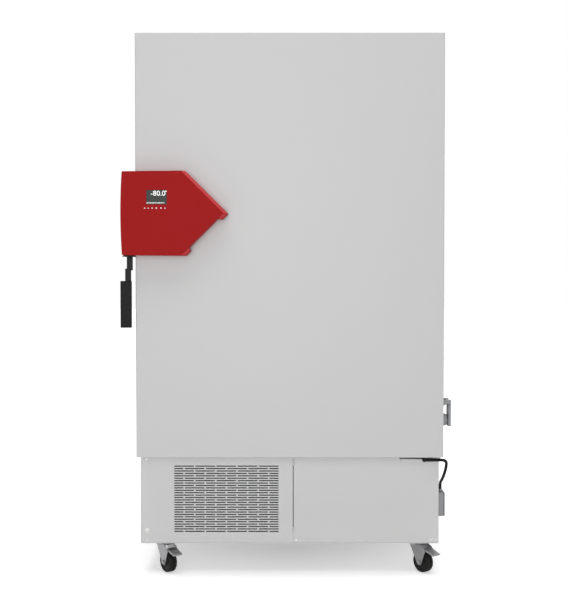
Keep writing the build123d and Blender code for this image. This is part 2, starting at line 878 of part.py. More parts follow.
cable_radii = bend_radii(cable_route)
print("cable bends", [round(radius, 1) for radius in cable_radii])
with BuildPart() as door_cable:
    with BuildLine() as cable_line:
        FilletPolyline(*cable_route, radius=cable_radii)
    with BuildSketch(Plane(origin=cable_route[0], z_dir=cable_line.line % 0)):
        Circle(cable_diameter / 2)
    sweep(path=cable_line.line)
cable_length = sum(edge.length for edge in cable_line.edges())
cable_section = pi * (cable_diameter / 2) ** 2
print("cable length", round(cable_length, 1),
      "volume ratio", round(door_cable.part.volume / (cable_length * cable_section), 4))
save(door_cable, "door_cable")

with BuildPart() as cable_elbow:
    span((cable_start - elbow_width, cable_start), (cable_y - elbow_width / 2, cable_y + elbow_width / 2),
         (cable_z - elbow_width / 2, door_bottom - soft_gap))
    fillet(cable_elbow.edges().filter_by(Axis.Y).group_by(Axis.X)[0].group_by(Axis.Z)[0], radius=5)
save(cable_elbow, "cable_elbow")

with BuildPart() as cable_box:
    span((half_width, half_width + cable_box_reach),
         (front + cable_box_front, front + cable_box_front + cable_box_depth),
         (cable_box_bottom, cable_box_top))
    fillet(cable_box.faces().sort_by(Axis.X)[-1].edges(), radius=3)
    rod_z(cable_diameter / 2 + 3, cable_box_x, cable_box_y, (cable_box_top, cable_box_top + cable_gland_height))
save(cable_box, "cable_box")

# Base: floor plate, corner posts, side panels, vented front, rear panel
panel_low = base_top_of_plate
panel_high = casing_bottom
inside_half = half_width - sheet
post_width = 40
post_setback = panel_return + sheet + 2.5
with BuildPart() as base_floor:
    span(both(half_width), (front, back), (castor_height, panel_low))
    fillet(base_floor.edges().filter_by(Axis.Z), radius=3)
save(base_floor, "base_floor")

with BuildPart() as base_posts:
    for side in (-1, 1):
        for low, high in (
            (front + post_setback, front + post_setback + post_width),
            (back - sheet - post_width, back - sheet),
        ):
            leg = sorted((side * inside_half, side * (inside_half - post_width)))
            hollow_x = sorted((side * (inside_half - base_plate), side * (inside_half - post_width)))
            span(leg, (low, high), (panel_low, panel_high))
            if low < 0:
                span(hollow_x, (low + base_plate, high), (panel_low, panel_high), Mode.SUBTRACT)
            else:
                span(hollow_x, (low, high - base_plate), (panel_low, panel_high), Mode.SUBTRACT)
save(base_posts, "base_posts")

with BuildPart() as base_side_panels:
    for side in (-1, 1):
        span(sorted((side * half_width, side * inside_half)), (front, back), (panel_low, panel_high))
save(base_side_panels, "base_side_panels")

louvre_span = 4 * slot_pitch + slot_length
slot_space = slot_pitch - slot_length
half_slot = (louvre_span - 4 * slot_length - 5 * slot_space) / 2
knuckle_low = seam_low
knuckle_high = seam_high - vent_knuckle_height
ear_height = vent_knuckle_height
with BuildPart() as vent_flap:
    flap_left = -inside_half + panel_gap
    flap_right = seam_x - panel_gap / 2
    flap_low = panel_low + panel_gap
    flap_high = panel_high - panel_gap
    span((flap_left, flap_right), (front, front + sheet + panel_return), (flap_low, flap_high))
    span(
        (flap_left + sheet, flap_right),
        (front + sheet, front + sheet + panel_return),
        (flap_low + sheet, flap_high - sheet),
        Mode.SUBTRACT,
    )
    with BuildSketch(Plane.XZ.offset(-front)):
        for row in range(louvre_rows):
            row_z = louvre_top - slot_height / 2 - row * row_pitch
            if row % 2 == 0:
                starts = [louvre_left + slot * slot_pitch for slot in range(5)]
                lengths = [slot_length] * 5
            else:
                first = louvre_left + half_slot + slot_space
                starts = [louvre_left] + [first + slot * slot_pitch for slot in range(5)]
                lengths = [half_slot] + [slot_length] * 4 + [half_slot]
            for start, length in zip(starts, lengths):
                with Locations((start + length / 2, row_z)):
                    Rectangle(length, slot_height)
    extrude(amount=-sheet, mode=Mode.SUBTRACT)
    span((seam_x - seam_wide, seam_x), (front, front + 2 * sheet + panel_return),
         (knuckle_low + vent_knuckle_height, knuckle_high), Mode.SUBTRACT)
    for ear in (knuckle_low - ear_height - panel_gap, seam_high):
        span((seam_x - vent_knuckle - panel_gap, seam_x), (front, front + sheet + panel_return + 1),
             (ear, ear + ear_height + panel_gap), Mode.SUBTRACT)
    for low in (knuckle_low, knuckle_high):
        rod_z(vent_knuckle, seam_x, front, (low, low + vent_knuckle_height))
        rod_z(vent_pin + pin_gap, seam_x, front, (low, low + vent_knuckle_height), Mode.SUBTRACT)
save(vent_flap, "vent_flap")

with BuildPart() as base_front_panel:
    panel_left = seam_x + panel_gap / 2
    span((panel_left, -flap_left), (front, front + sheet + panel_return), (flap_low, flap_high))
    span(
        (panel_left, -flap_left - sheet),
        (front + sheet, front + sheet + panel_return),
        (flap_low + sheet, flap_high - sheet),
        Mode.SUBTRACT,
    )
    for low in (knuckle_low, knuckle_high):
        span((seam_x, seam_x + vent_knuckle + panel_gap), (front, front + 2 * sheet),
             (low - panel_gap, low + vent_knuckle_height + panel_gap), Mode.SUBTRACT)
    for low, pin_low in ((knuckle_low - ear_height - panel_gap, knuckle_low - ear_height - panel_gap),
                         (seam_high + panel_gap, knuckle_high + 1)):
        rod_z(vent_knuckle, seam_x, front, (low, low + ear_height))
        rod_z(vent_pin, seam_x, front, (pin_low, pin_low + 2 * ear_height - 1))
save(base_front_panel, "base_front_panel")

exhaust_rows = 12
exhaust_slots = 3
exhaust_length = 100
exhaust_pitch = 112
inlet_x = 380
inlet_z = 190
inlet_width = 92
inlet_height = 50
with BuildPart() as rear_panel:
    span(both(inside_half), (back - sheet, back), (panel_low, panel_high))
    with BuildSketch(Plane.XZ.offset(-back)):
        for row in range(exhaust_rows):
            with Locations((fan_centre_x - 30, fan_centre_z + (row - (exhaust_rows - 1) / 2) * 2 * row_pitch)):
                with GridLocations(exhaust_pitch, 1, exhaust_slots, 1):
                    Rectangle(exhaust_length, slot_height)
        with Locations((inlet_x, inlet_z)):
            Rectangle(inlet_width, inlet_height)
    extrude(amount=sheet, mode=Mode.SUBTRACT)
save(rear_panel, "rear_panel")

# Mains inlet and rocker switch in one frame in the rear panel
inlet_depth = 34
bezel = 2
rocker_x = inlet_x + 26
rocker_width = 16
rocker_height = 24
rocker_pivot = 2
with BuildPart() as mains_inlet:
    span((inlet_x - inlet_width / 2, inlet_x + inlet_width / 2), (back - inlet_depth, back),
         (inlet_z - inlet_height / 2, inlet_z + inlet_height / 2))
    span((inlet_x - inlet_width / 2 - 4, inlet_x + inlet_width / 2 + 4), (back, back + bezel),
         (inlet_z - inlet_height / 2 - 4, inlet_z + inlet_height / 2 + 4))
    with BuildSketch(Plane.XZ.offset(-back - bezel)):
        with Locations((inlet_x - 16, inlet_z)):
            RectangleRounded(28, 20, 4)
    extrude(amount=18, mode=Mode.SUBTRACT)
    span((rocker_x - rocker_width / 2 - 0.5, rocker_x + rocker_width / 2 + 0.5), (back - 14, back + bezel),
         (inlet_z - rocker_height / 2 - 1, inlet_z + rocker_height / 2 + 1), Mode.SUBTRACT)
    for contact_x, contact_z in ((-8, -3), (8, -3), (0, 3)):
        span((inlet_x - 16 + contact_x - 1, inlet_x - 16 + contact_x + 1), (back - 17, back - 2),
             (inlet_z + contact_z - 2.5, inlet_z + contact_z + 2.5))
    rod_x(rocker_pivot, (rocker_x - rocker_width / 2 - 0.5, rocker_x + rocker_width / 2 + 0.5),
          back - 5, inlet_z)
save(mains_inlet, "mains_inlet")

with BuildPart() as rocker_switch:
    with BuildSketch(Plane.YZ.offset(rocker_x - rocker_width / 2)):
        with BuildLine():
            Polyline(
                (back - 10, inlet_z),
                (back - 3, inlet_z + rocker_height / 2 - 1.5),
                (back + 1, inlet_z + rocker_height / 2 - 1),
                (back + 1.5, inlet_z),
                (back + 5, inlet_z - rocker_height / 2 + 2),
                (back - 1, inlet_z - rocker_height / 2 + 1),
                close=True,
            )
        make_face()
        with Locations((back - 5, inlet_z)):
            Circle(rocker_pivot + pin_gap, mode=Mode.SUBTRACT)
    extrude(amount=rocker_width)
save(rocker_switch, "rocker_switch")

with BuildPart() as wall_bumpers:
    for bumper_x in (-380, 380):
        for bumper_z in (casing_bottom + 180, casing_top - 180):
            with BuildSketch(Plane.XZ.offset(-back)):
                with Locations((bumper_x, bumper_z)):
                    Rectangle(70, 50)
            extrude(amount=-bumper_depth, taper=12)
save(wall_bumpers, "wall_bumpers")

# Condenser, filter and fan behind the louvres
core_left = louvre_left - 10
core_right = louvre_left + louvre_span + 10
core_low = panel_low
core_high = louvre_top + 10
filter_front = front + sheet + panel_return + 6
core_front = filter_front + filter_depth
core_back = core_front + condenser_depth
fin_count = 15
with BuildPart() as air_filter:
    with BuildSketch(Plane.XZ.offset(-filter_front)):
        with Locations(((core_left + core_right) / 2, (core_low + core_high) / 2)):
            Rectangle(core_right - core_left, core_high - core_low)
            Rectangle(core_right - core_left - 24, core_high - core_low - 24, mode=Mode.SUBTRACT)
    extrude(amount=-filter_depth)
    span((core_left + 12, core_right - 12), (filter_front + 3, filter_front + 9),
         (core_low + 12, core_high - 12))
save(air_filter, "air_filter")

with BuildPart() as condenser:
    for edge in (core_left, core_right - 3):
        span((edge, edge + 3), (core_front, core_back), (core_low, core_high))
    fin_pitch = (core_right - core_left) / (fin_count + 1)
    for fin in range(fin_count):
        fin_x = core_left + fin_pitch * (fin + 1)
        span((fin_x - 1, fin_x + 1), (core_front, core_back - 2), (core_low + 20, core_high - 10))
    for share in (0.3, 0.7):
        bar_z = core_low + share * (core_high - core_low)
        span((core_left, core_right), (core_front + 8, core_back - 10), (bar_z - 4, bar_z + 4))
save(condenser, "condenser")

fan_ring = fan_radius + 5
ring_depth = 44
motor_radius = 32
fan_shaft = 4
motor_length = 46
motor_front = core_back + 3 + ring_depth
with BuildPart() as fan_shroud:
    span((core_left, core_right), (core_back, core_back + 3), (core_low, core_high))
    rod_y(fan_ring + 3, fan_centre_x, (core_back, core_back + 3 + ring_depth), fan_centre_z)
    rod_y(fan_ring, fan_centre_x, (core_back, core_back + 3 + ring_depth), fan_centre_z, Mode.SUBTRACT)
    for angle in (30, 150, 270):
        arm = Plane(
            origin=(fan_centre_x, motor_front - 4, fan_centre_z),
            x_dir=(cos(radians(angle)), 0, sin(radians(angle))),
            z_dir=(0, -1, 0),
        )
        with BuildSketch(arm) as arm_shape:
            with Locations(((motor_radius + fan_ring + 2) / 2 - 5, 0)):
                Rectangle(fan_ring + 2 - motor_radius + 10, 12)
        extrude(arm_shape.sketch, amount=-4)
    rod_y(motor_radius, fan_centre_x, (motor_front, motor_front + motor_length), fan_centre_z)
    chamfer(fan_shroud.edges().filter_by(GeomType.CIRCLE).sort_by(Axis.Y)[-1], length=6)
    rod_y(fan_shaft + pin_gap, fan_centre_x, (motor_front - 4, motor_front + 30), fan_centre_z,
          Mode.SUBTRACT)
save(fan_shroud, "fan_shroud")

blade_count = 5
hub_radius = 28
blade_middle = core_back + 24
with BuildPart() as fan_rotor:
    rod_y(hub_radius, fan_centre_x, (core_back + 10, core_back + 36), fan_centre_z)
    rod_y(fan_shaft, fan_centre_x, (core_back + 36, motor_front + 28), fan_centre_z)
    for blade in range(blade_count):
        angle = radians(90 + blade * 360 / blade_count)
        outward = Vector(cos(angle), 0, sin(angle))
        around = Vector(-sin(angle), 0, cos(angle))
        sections = []
        for reach, chord, pitch in ((hub_radius - 6, 26, 42), (fan_radius, 58, 20)):
            slope = around * cos(radians(pitch)) + Vector(0, sin(radians(pitch)), 0)
            station = Plane(
                origin=Vector(fan_centre_x, blade_middle, fan_centre_z) + outward * reach,
                x_dir=slope,
                z_dir=outward,
            )
            with BuildSketch(station) as section:
                Rectangle(chord, 2.5)
            sections.append(section.sketch)
        loft(sections)
save(fan_rotor, "fan_rotor")

# Two hermetic compressors on rubber mounts
foot_height = 14
compressor_y = 60
dome_rise = 73


def compressor(name, place_x):
    """One hermetic compressor: a welded shell on a foot plate, four rubber mounts, a terminal cover."""
    plate_z = panel_low + foot_height
    shell_z = plate_z + 4
    with BuildPart() as unit:
        with BuildSketch(Plane(origin=(place_x, compressor_y, shell_z), x_dir=(1, 0, 0), z_dir=(0, -1, 0))):
            with BuildLine():
                Polyline(
                    (0, 0),
                    (compressor_radius - 22, 0),
                    (compressor_radius, 26),
                    (compressor_radius, compressor_shoulder),
                    (compressor_radius - 10, compressor_shoulder + 0.45 * dome_rise),
                    (compressor_radius - 38, compressor_shoulder + 0.85 * dome_rise),
                    (14, compressor_shoulder + dome_rise),
                    (0, compressor_shoulder + dome_rise),
                    close=True,
                )
            make_face()
        revolve(axis=Axis((place_x, compressor_y, shell_z), (0, 0, 1)))
        with BuildSketch(Plane.XY.offset(plate_z)):
            with Locations((place_x, compressor_y)):
                Rectangle(200, 160)
        extrude(amount=4)
        with BuildSketch(Plane.XY.offset(panel_low)):
            with Locations((place_x, compressor_y)):
                with GridLocations(170, 130, 2, 2):
                    Circle(10)
        extrude(amount=foot_height)
        span(
            (place_x - 22, place_x + 22),
            (compressor_y - compressor_radius - 22, compressor_y - compressor_radius + 10),
            (shell_z + 60, shell_z + 120),
        )
    save(unit, name)


compressor_places = (160, 400)
compressor("compressor_stage_1", compressor_places[0])
compressor("compressor_stage_2", compressor_places[1])

# Cascade heat exchanger, electronics, and the lines between them
exchanger_y = (240, 340)
exchanger_high = casing_bottom - 34
with BuildPart() as cascade_exchanger:
    span((330, 470), exchanger_y, (panel_low, exchanger_high))
    fillet(cascade_exchanger.edges().filter_by(Axis.Z), radius=16)
save(cascade_exchanger, "cascade_exchanger")

electronics_top = 350
with BuildPart() as electronics_box:
    span((-500, -280), (250, 400), (panel_low, electronics_top))
    span((-504, -276), (246, 404), (electronics_top - 20, electronics_top + 2))
    fillet(electronics_box.edges().filter_by(Axis.Z), radius=3)
save(electronics_box, "electronics_box")

pipe_radius = 4
tail_x = liner_half + coil_thickness / 2
compressor_top = panel_low + foot_height + 4 + compressor_shoulder + dome_rise
line_high = casing_bottom - 20
line_low = casing_bottom - 54
pipe_routes = [
    [
        (compressor_places[0], compressor_y, compressor_top),
        (compressor_places[0], compressor_y, line_low),
        (compressor_places[0], (core_front + core_back) / 2, line_low),
        (core_right, (core_front + core_back) / 2, line_low),
    ],
    [
        (compressor_places[1], compressor_y, compressor_top),
        (compressor_places[1], compressor_y, line_high),
        (compressor_places[1], exchanger_y[0] + 30, line_high),
        (compressor_places[1], exchanger_y[0] + 30, exchanger_high),
    ],
    [
        (tail_x, coil_front - coil_riser_step, coil_end),
        (tail_x, coil_front - coil_riser_step, line_low),
        (tail_x, exchanger_y[0], line_low),
    ],
    [
        (-tail_x, coil_front, coil_end),
        (-tail_x, coil_front, line_low),
        (-tail_x, exchanger_y[1] - 30, line_low),
        (330, exchanger_y[1] - 30, line_low),
    ],
]
with BuildPart() as refrigerant_pipes:
    for route in pipe_routes:
        with BuildLine() as pipe_line:
            Polyline(*route)
        with BuildSketch(Plane(origin=route[0], z_dir=pipe_line.line % 0)):
            Circle(pipe_radius)
        sweep(path=pipe_line.line, transition=Transition.RIGHT)
save(refrigerant_pipes, "refrigerant_pipes")

# Castors: two braked ones at the front, two plain ones at the back
with BuildPart() as castor_plates:
    for place_x in (-castor_x, castor_x):
        for place_y in (front + castor_inset_front, back - castor_inset_rear):
            span(
                (place_x - 50, place_x + 50),
                (place_y - 42, place_y + 42),
                (castor_height - castor_plate_thickness, castor_height),
            )
            rod_z(kingpin, place_x, place_y, (castor_height - 16, castor_height))
            rod_z(kingpin + 5, place_x, place_y, (castor_height - 16, castor_height - 12))
save(castor_plates, "castor_plates")


def castor(corner, place, turn, braked):
    """A swivel fork and its wheel, and a brake pedal where there is one. X runs along the trail."""
    base = Plane(origin=(place[0], place[1], 0), x_dir=(cos(radians(turn)), sin(radians(turn)), 0))
    flat = base.offset(castor_height - castor_plate_thickness - 1)
    leg_inner = wheel_width / 2 + 3
    side = Plane(origin=base.origin, x_dir=base.x_dir, z_dir=-base.y_dir)
    fork_high = castor_height - castor_plate_thickness - 1
    fork_low = fork_high - fork_top
    with BuildPart() as fork:
        with BuildSketch(flat):
            Circle(28)
            with Locations((16, 0)):
                Rectangle(36, 2 * (leg_inner + fork_sheet))
        extrude(amount=-fork_top)
        with BuildSketch(flat):
            Circle(kingpin + pin_gap)
        extrude(amount=-fork_top, mode=Mode.SUBTRACT)
        with BuildSketch(flat.offset(-fork_top)):
            Circle(kingpin + 6)
        extrude(amount=fork_top - 6, mode=Mode.SUBTRACT)
        for leg in (-leg_inner - fork_sheet, leg_inner):
            with BuildSketch(side.offset(leg)):
                with Locations((wheel_trail, wheel_radius)):
                    Circle(12)
                with Locations((10, fork_high - 3)):
                    Rectangle(48, 6)
                if braked:
                    with Locations(pedal_pivot):
                        Circle(7)
                make_hull()
            extrude(amount=fork_sheet)
        with BuildSketch(side.offset(-leg_inner - fork_sheet - 3)):
            with Locations((wheel_trail, wheel_radius)):
                Circle(axle)
        extrude(amount=2 * (leg_inner + fork_sheet + 3))
        if braked:
            with BuildSketch(side.offset(-leg_inner)):
                with Locations(pedal_pivot):
                    Circle(pedal_pin)
            extrude(amount=2 * leg_inner)
    save(fork, f"castor_fork_{corner}")
    rim = wheel_width / 2
    with BuildPart() as wheel:
        with BuildSketch(Plane(origin=base.origin + base.x_dir * wheel_trail + Vector(0, 0, wheel_radius),
                               x_dir=base.y_dir, z_dir=base.x_dir)):
            with BuildLine():
                Polyline(
                    (-rim, axle + pin_gap),
                    (rim, axle + pin_gap),
                    (rim, 13),
                    (rim - 5, 13),
                    (rim - 5, 30),
                    (rim, 30),
                    (rim, wheel_radius - 5),
                    (rim - 5, wheel_radius),
                    (2, wheel_radius),
                    (1, wheel_radius - 4),
                    (-1, wheel_radius - 4),
                    (-2, wheel_radius),
                    (-rim + 5, wheel_radius),
                    (-rim, wheel_radius - 5),
                    (-rim, 30),
                    (-rim + 5, 30),
                    (-rim + 5, 13),
                    (-rim, 13),
                    close=True,
                )
            make_face()
        revolve(axis=Axis(tuple(base.origin + base.x_dir * wheel_trail + Vector(0, 0, wheel_radius)),
                          tuple(base.y_dir)))
    save(wheel, f"castor_wheel_{corner}")
    if not braked:
        return
    slope = radians(pedal_slope)
    down = (cos(slope), -sin(slope))
    with BuildPart() as pedal:
        with BuildSketch(side.offset(-leg_inner + 1)):
            with BuildLine():
                Polyline(
                    pedal_pivot,
                    (pedal_pivot[0], pedal_pivot[1] + 6),
                    (pedal_pivot[0] + pedal_length * down[0], pedal_pivot[1] + 6 + pedal_length * down[1]),
                    (pedal_pivot[0] + pedal_length * down[0] - 1,
                     pedal_pivot[1] + 1 + pedal_length * down[1]),
                    close=True,
                )
            make_face()
            with Locations(pedal_pivot):
                Circle(6.5)
        extrude(amount=2 * (leg_inner - 1))
        with BuildSketch(side.offset(-leg_inner + 1)):
            with Locations(pedal_pivot):
                Circle(pedal_pin + pin_gap)
        extrude(amount=2 * (leg_inner - 1), mode=Mode.SUBTRACT)
    save(pedal, f"brake_pedal_{corner}")


castor("fl", (-castor_x, front + castor_inset_front), front_turn, True)
castor("fr", (castor_x, front + castor_inset_front), front_turn, True)
castor("rl", (-castor_x, back - castor_inset_rear), rear_turn, False)
castor("rr", (castor_x, back - castor_inset_rear), rear_turn, False)
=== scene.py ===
"""Upright ultra low temperature freezer: the finish of every surface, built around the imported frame.

Sizes are in millimetres and are turned into metres where a mesh is made. X runs to the right, the door
looks towards -Y, and Z is up from the floor.
"""

import logging
import math
from contextlib import contextmanager
from dataclasses import dataclass
from enum import Enum
from typing import Callable, Iterator, Sequence

import bmesh
import bpy
from mathutils import Matrix, Vector


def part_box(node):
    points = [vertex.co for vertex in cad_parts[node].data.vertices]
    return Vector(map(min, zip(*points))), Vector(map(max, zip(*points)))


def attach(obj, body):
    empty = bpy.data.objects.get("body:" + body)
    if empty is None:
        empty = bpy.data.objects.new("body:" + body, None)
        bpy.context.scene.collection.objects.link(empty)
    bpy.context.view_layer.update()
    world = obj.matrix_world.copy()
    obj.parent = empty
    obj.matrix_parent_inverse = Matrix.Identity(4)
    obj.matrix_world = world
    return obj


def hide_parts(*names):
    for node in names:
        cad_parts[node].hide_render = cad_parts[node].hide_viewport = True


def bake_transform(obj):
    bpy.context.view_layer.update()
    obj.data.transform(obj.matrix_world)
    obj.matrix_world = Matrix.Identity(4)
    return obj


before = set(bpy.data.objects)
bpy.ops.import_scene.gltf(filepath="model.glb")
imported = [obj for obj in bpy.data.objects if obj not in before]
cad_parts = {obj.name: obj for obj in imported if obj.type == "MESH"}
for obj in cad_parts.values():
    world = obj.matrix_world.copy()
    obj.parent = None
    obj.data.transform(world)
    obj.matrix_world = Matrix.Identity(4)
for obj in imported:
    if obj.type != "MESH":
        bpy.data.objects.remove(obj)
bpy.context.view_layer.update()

LOG = logging.getLogger("freezer")
MM = 0.001

# How far a cutting block reaches past the wall that it opens, and past a whole form.
CLEAR = 5
FAR_CLEAR = 20

# The share and the detail of the slow and the fine noise in a surface's shade.
BROAD_SHARE, FINE_SHARE = 0.7, 0.3
BROAD_DETAIL, FINE_DETAIL = 3.0, 5.0
FINE_PER_BROAD = 23.0
DUST_COLOUR = (150, 144, 134)
DUST_ROUGHNESS = 0.25

# The fine grain of a relief and the slow swell under it.
GRAIN_DETAIL = 2.0
SWELL_SCALE, SWELL_DETAIL = 6.0, 1.0

Span = tuple[float, float]
Point = tuple[float, float, float]
Colour = tuple[float, float, float]
Piece = bpy.types.Object


class Body(Enum):
    """The rigid bodies that pieces ride on."""

    CABINET = "cabinet"
    DOOR = "door"
    HANDLE = "door_handle"
    VENT_FLAP = "vent_flap"


class Along(Enum):
    """The row axes, as directions."""

    X = (1.0, 0.0, 0.0)
    Y = (0.0, 1.0, 0.0)
    Z = (0.0, 0.0, 1.0)


# Shader node groups


def value_to_linear(level: float) -> float:
    """One colour level from 0 to 255 as a linear value."""
    share = level / 255
    return share / 12.92 if share <= 0.04045 else ((share + 0.055) / 1.055) ** 2.4


def linear(colour: Colour) -> tuple[float, float, float, float]:
    """A colour of three levels from 0 to 255 as linear red, green, blue and alpha."""
    red, green, blue = (value_to_linear(level) for level in colour)
    return (red, green, blue, 1.0)


def new_group(name: str, inputs: Sequence[tuple], outputs: Sequence[tuple]) -> bpy.types.NodeTree:
    """Makes an empty shader node group with named sockets.

    Args:
        name: The group's name.
        inputs: Socket name, socket type and default value of each input.
        outputs: Socket name and socket type of each output.

    Returns:
        The group, with its input and output nodes in place.
    """
    group = bpy.data.node_groups.new(name, "ShaderNodeTree")
    for label, kind, default in inputs:
        made = group.interface.new_socket(name=label, in_out="INPUT", socket_type=kind)
        if default is not None:
            made.default_value = default
    for label, kind in outputs:
        group.interface.new_socket(name=label, in_out="OUTPUT", socket_type=kind)
    group.nodes.new("NodeGroupInput").name = "in"
    group.nodes.new("NodeGroupOutput").name = "out"
    return group


def math_node(tree: bpy.types.NodeTree, operation: str, first: object,
              second: object) -> bpy.types.NodeSocket:
    """Adds a Math node whose two inputs are sockets or plain numbers, and returns its output.

    Args:
        tree: The node tree that it goes into.
        operation: What the node does.
        first: Its first socket or number.
        second: Its second socket or number.

    Returns:
        The node's output.
    """
    node = tree.nodes.new("ShaderNodeMath")
    node.operation = operation
    for slot, given in zip(node.inputs, (first, second)):
        if isinstance(given, bpy.types.NodeSocket):
            tree.links.new(given, slot)
        else:
            slot.default_value = float(given)
    return node.outputs[0]


def noise_node(tree: bpy.types.NodeTree, vector: bpy.types.NodeSocket, scale: object,
               detail: float) -> bpy.types.NodeSocket:
    """Adds a Noise Texture and returns its value output.

    Args:
        tree: The node tree that it goes into.
        vector: The place that it reads.
        scale: Its scale, a socket or a number.
        detail: How many finer layers it has.

    Returns:
        The node's value output.
    """
    node = tree.nodes.new("ShaderNodeTexNoise")
    node.inputs["Detail"].default_value = detail
    tree.links.new(vector, node.inputs["Vector"])
    if isinstance(scale, bpy.types.NodeSocket):
        tree.links.new(scale, node.inputs["Scale"])
    else:
        node.inputs["Scale"].default_value = float(scale)
    return node.outputs["Fac"]


def make_tone_group() -> bpy.types.NodeTree:
    """Slow changes of shade and gloss over a surface, with dust that settles low down.

    Returns:
        The group, which puts out a colour and a roughness.
    """
    group = new_group(
        "surface_tone",
        [
            ("Vector", "NodeSocketVector", None),
            ("Color", "NodeSocketColor", (0.5, 0.5, 0.5, 1.0)),
            ("Shade", "NodeSocketFloat", 0.03),
            ("Scale", "NodeSocketFloat", 4.0),
            ("Roughness", "NodeSocketFloat", 0.5),
            ("Roughness Spread", "NodeSocketFloat", 0.06),
            ("Dust", "NodeSocketFloat", 0.0),
            ("Dust Height", "NodeSocketFloat", 0.3),
        ],
        [("Color", "NodeSocketColor"), ("Roughness", "NodeSocketFloat")],
    )
    inward, outward = group.nodes["in"].outputs, group.nodes["out"].inputs
    broad = noise_node(group, inward["Vector"], inward["Scale"], BROAD_DETAIL)
    fine_scale = math_node(group, "MULTIPLY", inward["Scale"], FINE_PER_BROAD)
    fine = noise_node(group, inward["Vector"], fine_scale, FINE_DETAIL)
    blend = math_node(group, "ADD", math_node(group, "MULTIPLY", broad, BROAD_SHARE),
                      math_node(group, "MULTIPLY", fine, FINE_SHARE))
    swing = math_node(group, "MULTIPLY", math_node(group, "SUBTRACT", blend, 0.5), inward["Shade"])
    factor = math_node(group, "ADD", math_node(group, "MULTIPLY", swing, 2.0), 1.0)
    shaded = group.nodes.new("ShaderNodeVectorMath")
    shaded.operation = "SCALE"
    group.links.new(inward["Color"], shaded.inputs[0])
    group.links.new(factor, shaded.inputs["Scale"])
    place = group.nodes.new("ShaderNodeSeparateXYZ")
    group.links.new(inward["Vector"], place.inputs[0])
    low = math_node(group, "SUBTRACT", 1.0, math_node(group, "DIVIDE", place.outputs["Z"],
                                                      inward["Dust Height"]))
    settled = math_node(group, "MULTIPLY", math_node(group, "MAXIMUM", low, 0.0), fine)
    mask = math_node(group, "MINIMUM", math_node(group, "MULTIPLY", settled, inward["Dust"]), 1.0)
    dusty = group.nodes.new("ShaderNodeMix")
    dusty.data_type = "RGBA"
    dusty.inputs["B"].default_value = linear(DUST_COLOUR)
    group.links.new(mask, dusty.inputs["Factor"])
    group.links.new(shaded.outputs[0], dusty.inputs["A"])
    group.links.new(dusty.outputs["Result"], outward["Color"])
    rough = math_node(group, "ADD", inward["Roughness"],
                      math_node(group, "MULTIPLY", math_node(group, "SUBTRACT", fine, 0.5),
                                inward["Roughness Spread"]))
    dull = math_node(group, "MULTIPLY", mask, DUST_ROUGHNESS)
    group.links.new(math_node(group, "ADD", rough, dull), outward["Roughness"])
    return group


def make_relief_group() -> bpy.types.NodeTree:
    """The fine relief of a surface: a grain that can be drawn out along one direction.

    Returns:
        The group, which puts out a height.
    """
    group = new_group(
        "surface_relief",
        [
            ("Vector", "NodeSocketVector", None),
            ("Stretch", "NodeSocketVector", (1.0, 1.0, 1.0)),
            ("Scale", "NodeSocketFloat", 900.0),
            ("Waves", "NodeSocketFloat", 0.2),
        ],
        [("Height", "NodeSocketFloat")],
    )
    inward, outward = group.nodes["in"].outputs, group.nodes["out"].inputs
    drawn = group.nodes.new("ShaderNodeVectorMath")
    drawn.operation = "MULTIPLY"
    group.links.new(inward["Vector"], drawn.inputs[0])
    group.links.new(inward["Stretch"], drawn.inputs[1])
    grain = noise_node(group, drawn.outputs[0], inward["Scale"], GRAIN_DETAIL)
    swell = noise_node(group, inward["Vector"], SWELL_SCALE, SWELL_DETAIL)
    waves = math_node(group, "MULTIPLY", swell, inward["Waves"])
    group.links.new(math_node(group, "ADD", grain, waves), outward["Height"])
    return group


def make_mesh_group() -> bpy.types.NodeTree:
    """An open foam mat: round pores that are deeper than the web between them.

    Returns:
        The group, which puts out a height.
    """
    group = new_group(
        "open_pores",
        [("Vector", "NodeSocketVector", None), ("Scale", "NodeSocketFloat", 260.0)],
        [("Height", "NodeSocketFloat")],
    )
    inward, outward = group.nodes["in"].outputs, group.nodes["out"].inputs
    cells = group.nodes.new("ShaderNodeTexVoronoi")
    group.links.new(inward["Vector"], cells.inputs["Vector"])
    group.links.new(inward["Scale"], cells.inputs["Scale"])
    group.links.new(cells.outputs["Distance"], outward["Height"])
    return group


GROUPS: dict[str, bpy.types.NodeTree] = {
    "tone": make_tone_group(),
    "relief": make_relief_group(),
    "pores": make_mesh_group(),
}


